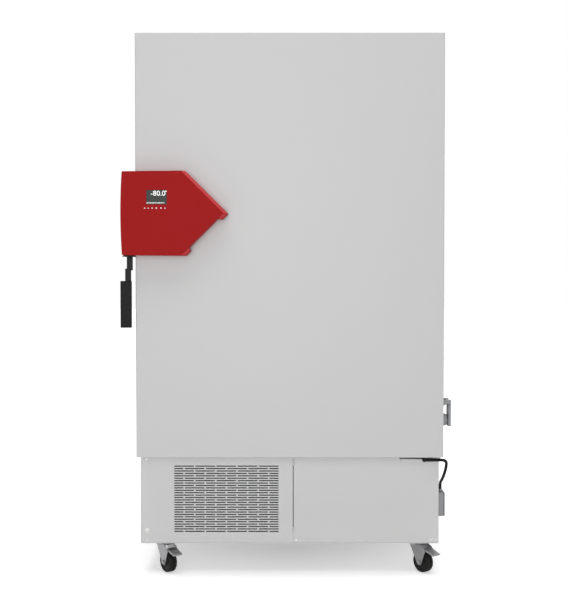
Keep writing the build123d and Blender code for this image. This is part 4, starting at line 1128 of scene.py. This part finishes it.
    def reading(self) -> Piece:
        """The reading, as raised figures on the window.

        Returns:
            The dressed figures.
        """
        bpy.ops.object.text_add(rotation=(math.pi / 2, 0, 0))
        text = bpy.context.object
        text.data.body = "-80.0"
        text.data.size = 1
        text.data.extrude = self.figure_depth
        bpy.ops.object.convert(target="MESH")
        piece = settle("display_reading")
        low = [min(v.co[i] for v in piece.data.vertices) for i in range(3)]
        high = [max(v.co[i] for v in piece.data.vertices) for i in range(3)]
        x, z = self.reading_place
        grow_x = (x[1] - x[0]) * MM / (high[0] - low[0])
        grow_z = (z[1] - z[0]) * MM / (high[2] - low[2])
        piece.data.transform(Matrix.Translation((-low[0], 0, -low[2])))
        piece.data.transform(Matrix.Diagonal((grow_x, self.figure_depth, grow_z, 1)))
        piece.data.transform(shift(x[0], self.front + self.reading_front, z[0]))
        return dress(piece, Finishes.LIT_MARK, Body.DOOR.value)

    def marks(self) -> Piece:
        """A short scale of bars under the reading, and small marks on the window.

        Returns:
            The dressed marks.
        """
        parts = []
        left, right = self.scale
        depth = from_level(self.front, self.mark_depth)
        for mark in range(self.scale_count):
            x = left + (right - left) * mark / (self.scale_count - 1)
            tall = self.mark_short if mark % self.scale_group else self.mark_tall
            parts.append(block(f"mark_{mark}", (x - self.mark_half, x + self.mark_half), depth,
                               (self.scale_height - tall / 2, self.scale_height + tall / 2)))
        ring_x, ring_z = self.ring_place
        parts.append(bar("mark_ring", Along.Y, self.ring_radius, (ring_x, depth[0], ring_z),
                         self.ring_depth, sides=24))
        return dress(joined("display_marks", parts), Finishes.LIT_MARK, Body.DOOR.value)

    def keys(self) -> Piece:
        """Six key marks in a row under the window, each a plain sign.

        Returns:
            The dressed signs.
        """
        parts = []
        for x, sides in self.key_signs:
            radius = self.key_radius if sides < 5 else self.round_key_radius
            place = (x, self.front - self.key_rise, self.key_height)
            parts.append(bar(f"key_{-x}", Along.Y, radius, place, self.key_depth, sides=sides))
        return dress(joined("key_marks", parts), Finishes.PRINT_WHITE, Body.DOOR.value)

    def build(self) -> None:
        """Builds the housing, its display and its keys."""
        self.shell()
        self.screen()
        self.reading()
        self.marks()
        self.keys()


@dataclass
class LeverHandle:
    """The moulded grip at the end of the door lever."""

    left: float = -603
    right: float = -566
    middle_y: float = -437
    depth: float = 30
    top: float = 1087
    length: float = 167
    end_bevel: float = 7
    side_bevel: float = 4

    def grip(self) -> Piece:
        """The grip: a straight bar with bevelled ends and softened sides.

        Returns:
            The dressed grip.
        """
        low = self.top - self.length
        piece = block("lever_grip", (self.left, self.right),
                      (self.middle_y - self.depth / 2, self.middle_y + self.depth / 2), (low, self.top))
        chamfer(piece, lambda a, b: abs(a.x - b.x) > 1, self.end_bevel, 2)
        chamfer(piece, lambda a, b: abs(a.z - b.z) > 2 * self.depth, self.side_bevel, 4)
        soften(piece, 1.0, segments=2, angle=35)
        return dress(piece, Finishes.BLACK_PLASTIC, Body.HANDLE.value, ["handle_grip"])

    def build(self) -> None:
        """Builds the grip."""
        self.grip()


@dataclass
class InnerDoors:
    """Four insulated inner doors, one above the other."""

    half_width: float = 443
    front: float = -320.5
    back: float = -292.5
    count: int = 4
    hinge: Span = (440, -322)
    panel_inset: float = 24
    panel_step: float = 5
    panel_sink: float = 2
    knuckle_radius: float = 5.5
    knuckle_height: float = 20
    pull: Span = (-388, -378)
    pull_depth: float = 9
    pull_half: float = 45
    seal_outer: float = 435
    seal_inset: float = 2
    seal_width: float = 12
    seal_depth: float = 3.7

    def build(self) -> None:
        """Builds the slab, seal and pull of each door."""
        for row in range(self.count):
            name = f"inner_door_{row + 1}"
            low_corner, high_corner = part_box(name)
            low, high = low_corner.z / MM, high_corner.z / MM
            slab = block(f"{name}_slab", (-self.half_width, self.half_width), (self.front, self.back),
                         (low, high))
            with editing(slab) as mesh:
                pick_faces(mesh, lambda centre, normal: normal.y < -0.9)
                bpy.ops.mesh.inset(thickness=self.panel_inset * MM)
                bpy.ops.mesh.inset(thickness=self.panel_step * MM, depth=-self.panel_sink * MM)
            soften(slab, 2.2, segments=3, angle=20)
            knuckles = []
            for end in (low, high - self.knuckle_height):
                knuckle = bar("knuckle", Along.Z, self.knuckle_radius, (*self.hinge, end),
                              self.knuckle_height, sides=32)
                knuckles.append(soften(knuckle, 0.5, segments=2))
            pull_z = (low + high) / 2
            pull = block("pull", self.pull, (self.front - self.pull_depth, self.front),
                         (pull_z - self.pull_half, pull_z + self.pull_half))
            soften(pull, 2.5, segments=4)
            dress(joined(f"{name}_slab", [slab, *knuckles, pull]), Finishes.INNER_PLASTIC, name, [name])
            ring = MainDoor().ring(f"{name}_seal", self.seal_outer,
                                   (low + self.seal_inset, high - self.seal_inset), self.seal_width,
                                   (self.back, self.back + self.seal_depth))
            soften(ring, 1.5, segments=3)
            ring.data.transform(shift(-self.seal_inset, 0, 0))
            dress(ring, Finishes.SEAL, name)


@dataclass
class ScrewHeads:
    """Screw heads on the panels of the base, with a quarter-turn lock on the vented flap."""

    front: float = -326.5
    radius: float = 4.0
    height: float = 1.2
    flap: tuple[Span, ...] = ((-529, 427),)
    bottom_row: tuple[Span, ...] = ((-527, 125), (25, 125), (272, 125), (524, 126), (543, 126), (530, 131),
                                    (549, 131))
    lock: Span = (-528, 163)
    plug_radius: float = 4.6
    small_radius: float = 3.2
    large_below: float = 130
    dome: tuple[Span, ...] = ((0, 1), (0.55, 1), (0.9, 0.6), (1, 0), (0, 0))
    socket: Span = (0.9, 0.22)
    socket_depth: float = 0.7
    lock_ring: tuple[Span, ...] = ((5.5, 0), (5.5, -1.2), (6.2, -1.6), (8.6, -1.6), (9.4, -0.8), (9.4, 0))

    def head(self, name: str, x: float, z: float, radius: float) -> Piece:
        """One domed head with a cross-shaped socket.

        Args:
            name: The piece's name.
            x: Its place across.
            z: Its height.
            radius: Its radius.

        Returns:
            The head.
        """
        head = turned(name, Along.Y, (x, self.front, z),
                      [(radius * out, -self.height * rise) for out, rise in self.dome], steps=24)
        long, short = (radius * share for share in self.socket)
        for wide, tall in ((long, short), (short, long)):
            cut(head, block("socket", (x - wide / 2, x + wide / 2),
                            (self.front - self.height - 1, self.front - self.height + self.socket_depth),
                            (z - tall / 2, z + tall / 2)))
        return head

    def build(self) -> None:
        """Builds the heads on the flap and those on the fixed panels."""
        on_flap = [self.head("flap_screw", *place, self.radius)
                   for place in (*self.flap, *self.bottom_row[:1])]
        ring = turned("lock_ring", Along.Y, (self.lock[0], self.front, self.lock[1]), self.lock_ring,
                      steps=40)
        plug = self.head("lock_plug", *self.lock, self.plug_radius)
        dress(shade(joined("flap_screws", on_flap + [plug])), Finishes.BARE_STEEL, Body.VENT_FLAP.value)
        dress(shade(ring), Finishes.FRAME_PLASTIC, Body.VENT_FLAP.value)
        fixed = [self.head("panel_screw", *place,
                           self.radius if place[1] < self.large_below else self.small_radius)
                 for place in self.bottom_row[1:]]
        dress(shade(joined("panel_screws", fixed)), Finishes.BARE_STEEL, Body.CABINET.value)


@dataclass
class Castor:
    """One swivel castor, modelled along its trail and then turned to its place."""

    corner: str
    place: tuple[float, float]
    turn: float
    braked: bool
    wheel_radius: float = 40
    wheel_width: float = 32
    trail: float = 38
    fork_top: float = 110
    leg_inner: float = 19
    leg_sheet: float = 3
    braked_leg: tuple[Span, ...] = ((-14, 110), (30, 110), (62, 96), (67, 84), (50, 36), (44, 29), (32, 29),
                                    (26, 36), (-14, 103))
    plain_leg: tuple[Span, ...] = ((-14, 110), (34, 110), (38, 104), (50, 44), (50, 34), (44, 28), (32, 28),
                                   (26, 34), (-14, 103))
    crown: tuple[Span, ...] = ((10.2, -12), (27, -12), (28, -9), (28, -2), (25, 0), (10.2, 0), (10.2, -12))
    race: tuple[Span, ...] = ((15, -0.6), (29.5, -0.6), (30, 0.5), (26, 0.9), (15, 0.9), (15, -0.6))
    bolt: tuple[Span, ...] = ((0, 4.5), (5, 4.2), (7.2, 2.6), (7.6, 0), (0, 0))
    bridge: Span = (2, 34)
    bridge_edge: float = 2.5
    axle_radius: float = 4
    nut_radius: float = 7.6
    pin_radius: float = 3
    pedal_pivot: Span = (60, 88)
    pedal_reach: float = 50
    pedal_slope: float = 17
    rib_count: int = 4
    rib_first: float = 0.45
    rib_pitch: float = 0.15

    def matrix(self) -> Matrix:
        """The turn and move from the castor's own axes to its place."""
        return shift(*self.place, 0) @ Matrix.Rotation(math.radians(self.turn), 4, "Z")

    def finish(self, piece: Piece, finish: Finish, body: str, nodes: Sequence[str] = ()) -> Piece:
        """Puts a piece in its place and dresses it.

        Args:
            piece: The finished mesh, in the castor's own axes.
            finish: What its surface is.
            body: The body it rides on.
            nodes: The frame's nodes that it replaces.

        Returns:
            The same piece.
        """
        piece.data.transform(self.matrix())
        return dress(piece, finish, body, nodes)

    def leg(self, name: str, low_y: float) -> Piece:
        """One pressed leg of the fork, from its shoulder down to the axle.

        Args:
            name: The piece's name.
            low_y: The leg's nearer side.

        Returns:
            The leg.
        """
        outline = self.braked_leg if self.braked else self.plain_leg
        piece = plate(name, [(x, low_y, z) for x, z in outline], (0, self.leg_sheet, 0))
        return soften(piece, 0.8, segments=2)

    def fork(self) -> None:
        """The fork: a domed crown, two legs, a back web, the axle and its nut."""
        outer = self.leg_inner + self.leg_sheet
        crown = turned("crown", Along.Z, (0, 0, 0),
                       [(radius, self.fork_top + rise) for radius, rise in self.crown])
        shade(crown)
        bridge = soften(block("bridge", self.bridge, (-outer, outer),
                              (self.fork_top + self.crown[0][1], self.fork_top)), self.bridge_edge)
        legs = [self.leg("leg_left", -outer), self.leg("leg_right", self.leg_inner)]
        axle = bar("axle", Along.Y, self.axle_radius, (self.trail, -outer - 3, self.wheel_radius),
                   2 * (outer + 3), sides=24)
        nut = soften(bar("nut", Along.Y, self.nut_radius, (self.trail, -outer - 5, self.wheel_radius), 5,
                         sides=6), 0.6)
        bolt = turned("bolt", Along.Y, (self.trail, outer, self.wheel_radius), self.bolt, steps=32)
        parts = [crown, bridge, *legs, axle, nut, shade(bolt)]
        if self.braked:
            x, z = self.pedal_pivot
            parts.append(bar("pedal_pin", Along.Y, self.pin_radius, (x, -outer - 1, z), 2 * (outer + 1),
                             sides=20))
        piece = joined(f"fork_{self.corner}", parts)
        self.finish(piece, Finishes.ZINC, f"castor_fork_{self.corner}", [f"castor_fork_{self.corner}"])
        race = turned(f"race_{self.corner}", Along.Z, (0, 0, 0),
                      [(radius, self.fork_top + rise) for radius, rise in self.race])
        self.finish(shade(race), Finishes.DARK_METAL, f"castor_fork_{self.corner}")

    def wheel(self) -> None:
        """The wheel: a crowned tread with a centre groove, and a dished hub."""
        half, rim = self.wheel_width / 2, self.wheel_radius
        centre = (self.trail, 0, rim)
        tread = turned(f"tread_{self.corner}", Along.Y, centre,
                       [(30, -half + 1.2), (34, -half), (rim - 3.4, -half + 0.6), (rim - 1, -half + 3),
                        (rim, -half + 7), (rim, -2.2), (rim - 3.6, -1.1), (rim - 3.6, 1.1), (rim, 2.2),
                        (rim, half - 7), (rim - 1, half - 3), (rim - 3.4, half - 0.6), (34, half),
                        (30, half - 1.2), (30, -half + 1.2)], steps=64)
        self.finish(shade(tread), Finishes.TREAD, f"castor_wheel_{self.corner}",
                    [f"castor_wheel_{self.corner}"])
        hub = turned(f"hub_{self.corner}", Along.Y, centre,
                     [(4.05, -half), (12, -half), (13, -half + 1), (15, -half + 5), (26, -half + 5),
                      (30.2, -half + 2), (30.2, half - 2), (26, half - 5), (15, half - 5), (13, half - 1),
                      (12, half), (4.05, half), (4.05, -half)])
        self.finish(shade(hub), Finishes.HUB, f"castor_wheel_{self.corner}")

    def pedal(self) -> None:
        """The brake pedal: a ribbed tread plate on a rolled eye."""
        x, z = self.pedal_pivot
        slope = math.radians(self.pedal_slope)
        reach = (math.cos(slope) * self.pedal_reach, -math.sin(slope) * self.pedal_reach)
        half = self.leg_inner - 1
        outline = [(x - 4, z + 4.5), (x, z + 6.5), (x + reach[0], z + 6 + reach[1]),
                   (x + reach[0] + 1, z + 3 + reach[1]), (x + reach[0] - 1, z + 1 + reach[1]),
                   (x + 5, z - 3.6), (x, z - 6.2), (x - 5, z - 3.4)]
        body = plate("pedal_plate", [(px, -half, pz) for px, pz in outline], (0, 2 * half, 0))
        cut(body, bar("pedal_eye", Along.Y, 3.05, (x, -half - 5, z), 2 * half + 10, sides=24))
        soften(body, 0.9, segments=2, angle=25)
        ribs = []
        for step in range(self.rib_count):
            share = self.rib_first + self.rib_pitch * step
            rib_x, rib_z = x + reach[0] * share, z + 6 + reach[1] * share
            ribs.append(soften(block("rib", (rib_x - 1.3, rib_x + 1.3), (-half + 3, half - 3),
                                     (rib_z - 1.5, rib_z + 0.9)), 0.6, segments=2))
        name = f"brake_pedal_{self.corner}"
        self.finish(joined(f"pedal_{self.corner}", [body, *ribs]), Finishes.ZINC, name, [name])

    def build(self) -> None:
        """Builds the fork, the wheel and, where there is one, the pedal."""
        self.fork()
        self.wheel()
        if self.braked:
            self.pedal()


@dataclass
class DoorCable:
    """The cable between the door and its junction box on the base."""

    diameter: float = 11
    length: float = 273
    route: tuple[Point, ...] = (
        (490, -415, 441), (528, -415, 441), (565, -414, 441.5), (566, -403, 413), (562, -379, 381),
        (560, -343, 355), (561.5, -305, 341), (564.25, -276.5, 325), (564.25, -276.5, 308),
    )
    elbow_bend: float = 5
    box_x: Span = (551, 577.5)
    box_y: Span = (-306.5, -246.5)
    box_z: Span = (211, 299)
    body_depth: float = 5
    body_edge: float = 2.5
    lid_depth: float = 4.6
    lid_edge: float = 1.8
    gland_place: Span = (564.25, -276.5)
    gland_profile: tuple[Span, ...] = ((5.6, 0), (8.4, 0), (8.4, 3), (7.8, 3.4), (7.8, 6), (6.6, 8.4),
                                       (5.6, 9), (5.6, 0))
    nut_radius: float = 9.2
    screw_inset: float = 8
    screw_profile: tuple[Span, ...] = ((0, 0.5), (2.2, 0.45), (3.0, 0), (0, 0))

    def line(self) -> Piece:
        """The route as one smooth curve.

        Returns:
            The curve.
        """
        curve = bpy.data.curves.new("door_cord", "CURVE")
        curve.dimensions = "3D"
        curve.resolution_u = 12
        spline = curve.splines.new("NURBS")
        spline.points.add(len(self.route) - 1)
        for point, place in zip(spline.points, self.route):
            point.co = (*(Vector(place) * MM), 1)
        spline.order_u = 3
        spline.use_endpoint_u = True
        made = bpy.data.objects.new("door_cord", curve)
        bpy.context.scene.collection.objects.link(made)
        return made

    def build(self) -> None:
        """Builds the cord, its elbow under the door and the junction box with its gland."""
        piece = self.line()
        bpy.context.view_layer.update()
        bare = bpy.data.meshes.new_from_object(piece)
        piece.data.bevel_depth = self.diameter / 2 * MM
        piece.data.bevel_resolution = 6
        piece.data.use_fill_caps = True
        choose(piece)
        bpy.ops.object.convert(target="MESH")
        shade(piece)
        piece.data.materials.clear()
        piece.data.materials.append(Finishes.CABLE.material())
        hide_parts("door_cable")
        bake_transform(piece)
        LOG.info("piece %s bends between door and cabinet", piece.name)
        self.elbow()
        self.box()

    def elbow(self) -> Piece:
        """The moulded elbow that turns the cable into the door.

        Returns:
            The dressed elbow.
        """
        low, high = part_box("cable_elbow")
        low, high = low / MM, high / MM
        piece = block("cable_elbow_moulding", (low.x, high.x), (low.y, high.y), (low.z, high.z))
        chamfer(piece, lambda a, b: max(a.x, b.x) < low.x + 1 and abs(a.y - b.y) > 1 and a.z < low.z + 1,
                self.elbow_bend, 6)
        soften(piece, 1.2, segments=3)
        return dress(piece, Finishes.CABLE, Body.DOOR.value, ["cable_elbow"])

    def box(self) -> Piece:
        """The junction box: a lidded moulding with two screws and a threaded gland on top.

        Returns:
            The dressed box.
        """
        x, y, z = self.box_x, self.box_y, self.box_z
        gland_x, gland_y = self.gland_place
        body = soften(block("junction_box", (x[0], x[1] - self.body_depth), y, z), self.body_edge,
                      segments=4)
        lid = soften(block("box_lid", (x[1] - self.lid_depth, x[1]), y, z), self.lid_edge, segments=4)
        gland = turned("gland", Along.Z, (gland_x, gland_y, z[1]), self.gland_profile, steps=32)
        nut = soften(bar("gland_nut", Along.Z, self.nut_radius, (gland_x, gland_y, z[1] + 0.2), 3.4, sides=6),
                     0.5)
        heads = [turned("box_screw", Along.X, (x[1], gland_y, place),
                        self.screw_profile, steps=20)
                 for place in (z[0] + self.screw_inset, z[1] - self.screw_inset)]
        piece = joined("junction_box", [body, lid, shade(gland), nut, *map(shade, heads)])
        return dress(piece, Finishes.BOX, Body.CABINET.value, ["cable_box"])


@dataclass
class Studio:
    """The floor, the light and the camera."""

    lens: float = 58.83
    camera_place: Point = (-15, -3936.5, 1102)
    tilt: float = 0.0237
    yaw: float = 0.0017
    world_light: float = 0.30
    # The floor's glow starts low at the middle and grows per metre: painted shade round the freezer.
    floor_lift: float = 0.36
    painted_shade_fade_per_metre: float = 0.2
    sensor: float = 36
    reach: float = 60
    floor_size: float = 60
    floor_tone: float = 0.86
    floor_roughness: float = 0.9
    aim: Point = (0, 0, 1000)
    lamps: tuple[tuple[str, Point, float, float], ...] = (
        ("front_lamp", (-700, -6500, 1500), 3600, 150),
        ("fill_lamp", (3200, -3600, 2600), 2600, 10),
        ("top_lamp", (0, -600, 5200), 4200, 215),
    )

    def camera(self) -> None:
        """The camera at the photograph's angle."""
        bpy.ops.object.camera_add(location=Vector(self.camera_place) * MM,
                                  rotation=(math.pi / 2 - self.tilt, 0, self.yaw))
        camera = bpy.context.object
        camera.data.lens = self.lens
        camera.data.sensor_width = self.sensor
        camera.data.clip_end = self.reach
        bpy.context.scene.camera = camera

    def seen_directly(self, tree: bpy.types.NodeTree) -> bpy.types.NodeSocket:
        """One where the camera or a reflection looks, and nothing where light bounces.

        Args:
            tree: The node tree that it goes into.

        Returns:
            The mask.
        """
        rays = tree.nodes.new("ShaderNodeLightPath")
        either = math_node(tree, "MAXIMUM", rays.outputs["Is Camera Ray"], rays.outputs["Is Glossy Ray"])
        return math_node(tree, "MAXIMUM", either, rays.outputs["Is Transmission Ray"])

    def world(self) -> None:
        """A white surround to look at, and a softer one that lights the freezer."""
        world = bpy.data.worlds.new("studio")
        bpy.context.scene.world = world
        world.use_nodes = True
        tree = world.node_tree
        surround = tree.nodes["Background"]
        surround.inputs["Color"].default_value = (1, 1, 1, 1)
        strength = math_node(tree, "ADD", self.world_light,
                             math_node(tree, "MULTIPLY", self.seen_directly(tree), 1 - self.world_light))
        tree.links.new(strength, surround.inputs["Strength"])

    def floor(self) -> None:
        """A pale floor that keeps the freezer's shadow, with painted shade round the freezer: its glow is
        weakest near the middle and turns white further away.
        """
        bpy.ops.mesh.primitive_plane_add(size=self.floor_size, location=(0, 0, 0))
        floor = settle("studio_floor")
        made = bpy.data.materials.new("pale_floor")
        made.use_nodes = True
        tree = made.node_tree
        shader = tree.nodes["Principled BSDF"]
        shader.inputs["Base Color"].default_value = (*[self.floor_tone] * 3, 1)
        shader.inputs["Roughness"].default_value = self.floor_roughness
        shader.inputs["Specular IOR Level"].default_value = 0.0
        shader.inputs["Emission Color"].default_value = (1, 1, 1, 1)
        place = tree.nodes.new("ShaderNodeVectorMath")
        place.operation = "LENGTH"
        tree.links.new(tree.nodes.new("ShaderNodeTexCoord").outputs["Object"], place.inputs[0])
        # The glow grows with distance from the middle, so the floor near and under the freezer is darker:
        # painted shade that deepens its shadow.
        away = math_node(tree, "MULTIPLY", place.outputs["Value"], self.painted_shade_fade_per_metre)
        lift_with_painted_shade = math_node(tree, "MINIMUM", math_node(tree, "ADD", away, self.floor_lift), 1)
        lift = math_node(tree, "MULTIPLY", self.seen_directly(tree), lift_with_painted_shade)
        tree.links.new(lift, shader.inputs["Emission Strength"])
        floor.data.materials.append(made)

    def lamp(self, name: str, place: Point, size: float, power: float) -> None:
        """One large soft lamp that looks at the middle of the freezer.

        Args:
            name: The lamp's name.
            place: Where it hangs.
            size: The side of its square.
            power: Its power in watts.
        """
        aim = Vector(self.aim) - Vector(place)
        bpy.ops.object.light_add(type="AREA", location=Vector(place) * MM,
                                 rotation=aim.to_track_quat("-Z", "Y").to_euler())
        lamp = bpy.context.object
        lamp.name = name
        lamp.data.size = size * MM
        lamp.data.energy = power

    def build(self) -> None:
        """Sets the whole studio."""
        bpy.context.scene.view_settings.view_transform = "Standard"
        self.camera()
        self.world()
        self.floor()
        for name, place, size, power in self.lamps:
            self.lamp(name, place, size, power)


# The corner, place, turn in degrees and brake of each castor.
CASTORS = (
    ("fl", (-476, -264), -53, True),
    ("fr", (476, -264), -53, True),
    ("rl", (-476, 393.5), 70, False),
    ("rr", (476, 393.5), 70, False),
)


def main() -> None:
    """Builds the studio, dresses the frame's nodes and builds each sub-assembly in order."""
    logging.basicConfig(level=logging.INFO, format="%(name)s %(message)s")
    Studio().build()
    dress_nodes()
    DoorCable().build()
    Cabinet().build()
    MainDoor().build()
    ControlHousing().build()
    LeverHandle().build()
    InnerDoors().build()
    ScrewHeads().build()
    for corner, place, turn, braked in CASTORS:
        Castor(corner, place, turn, braked).build()


if __name__ == "__main__":
    main()
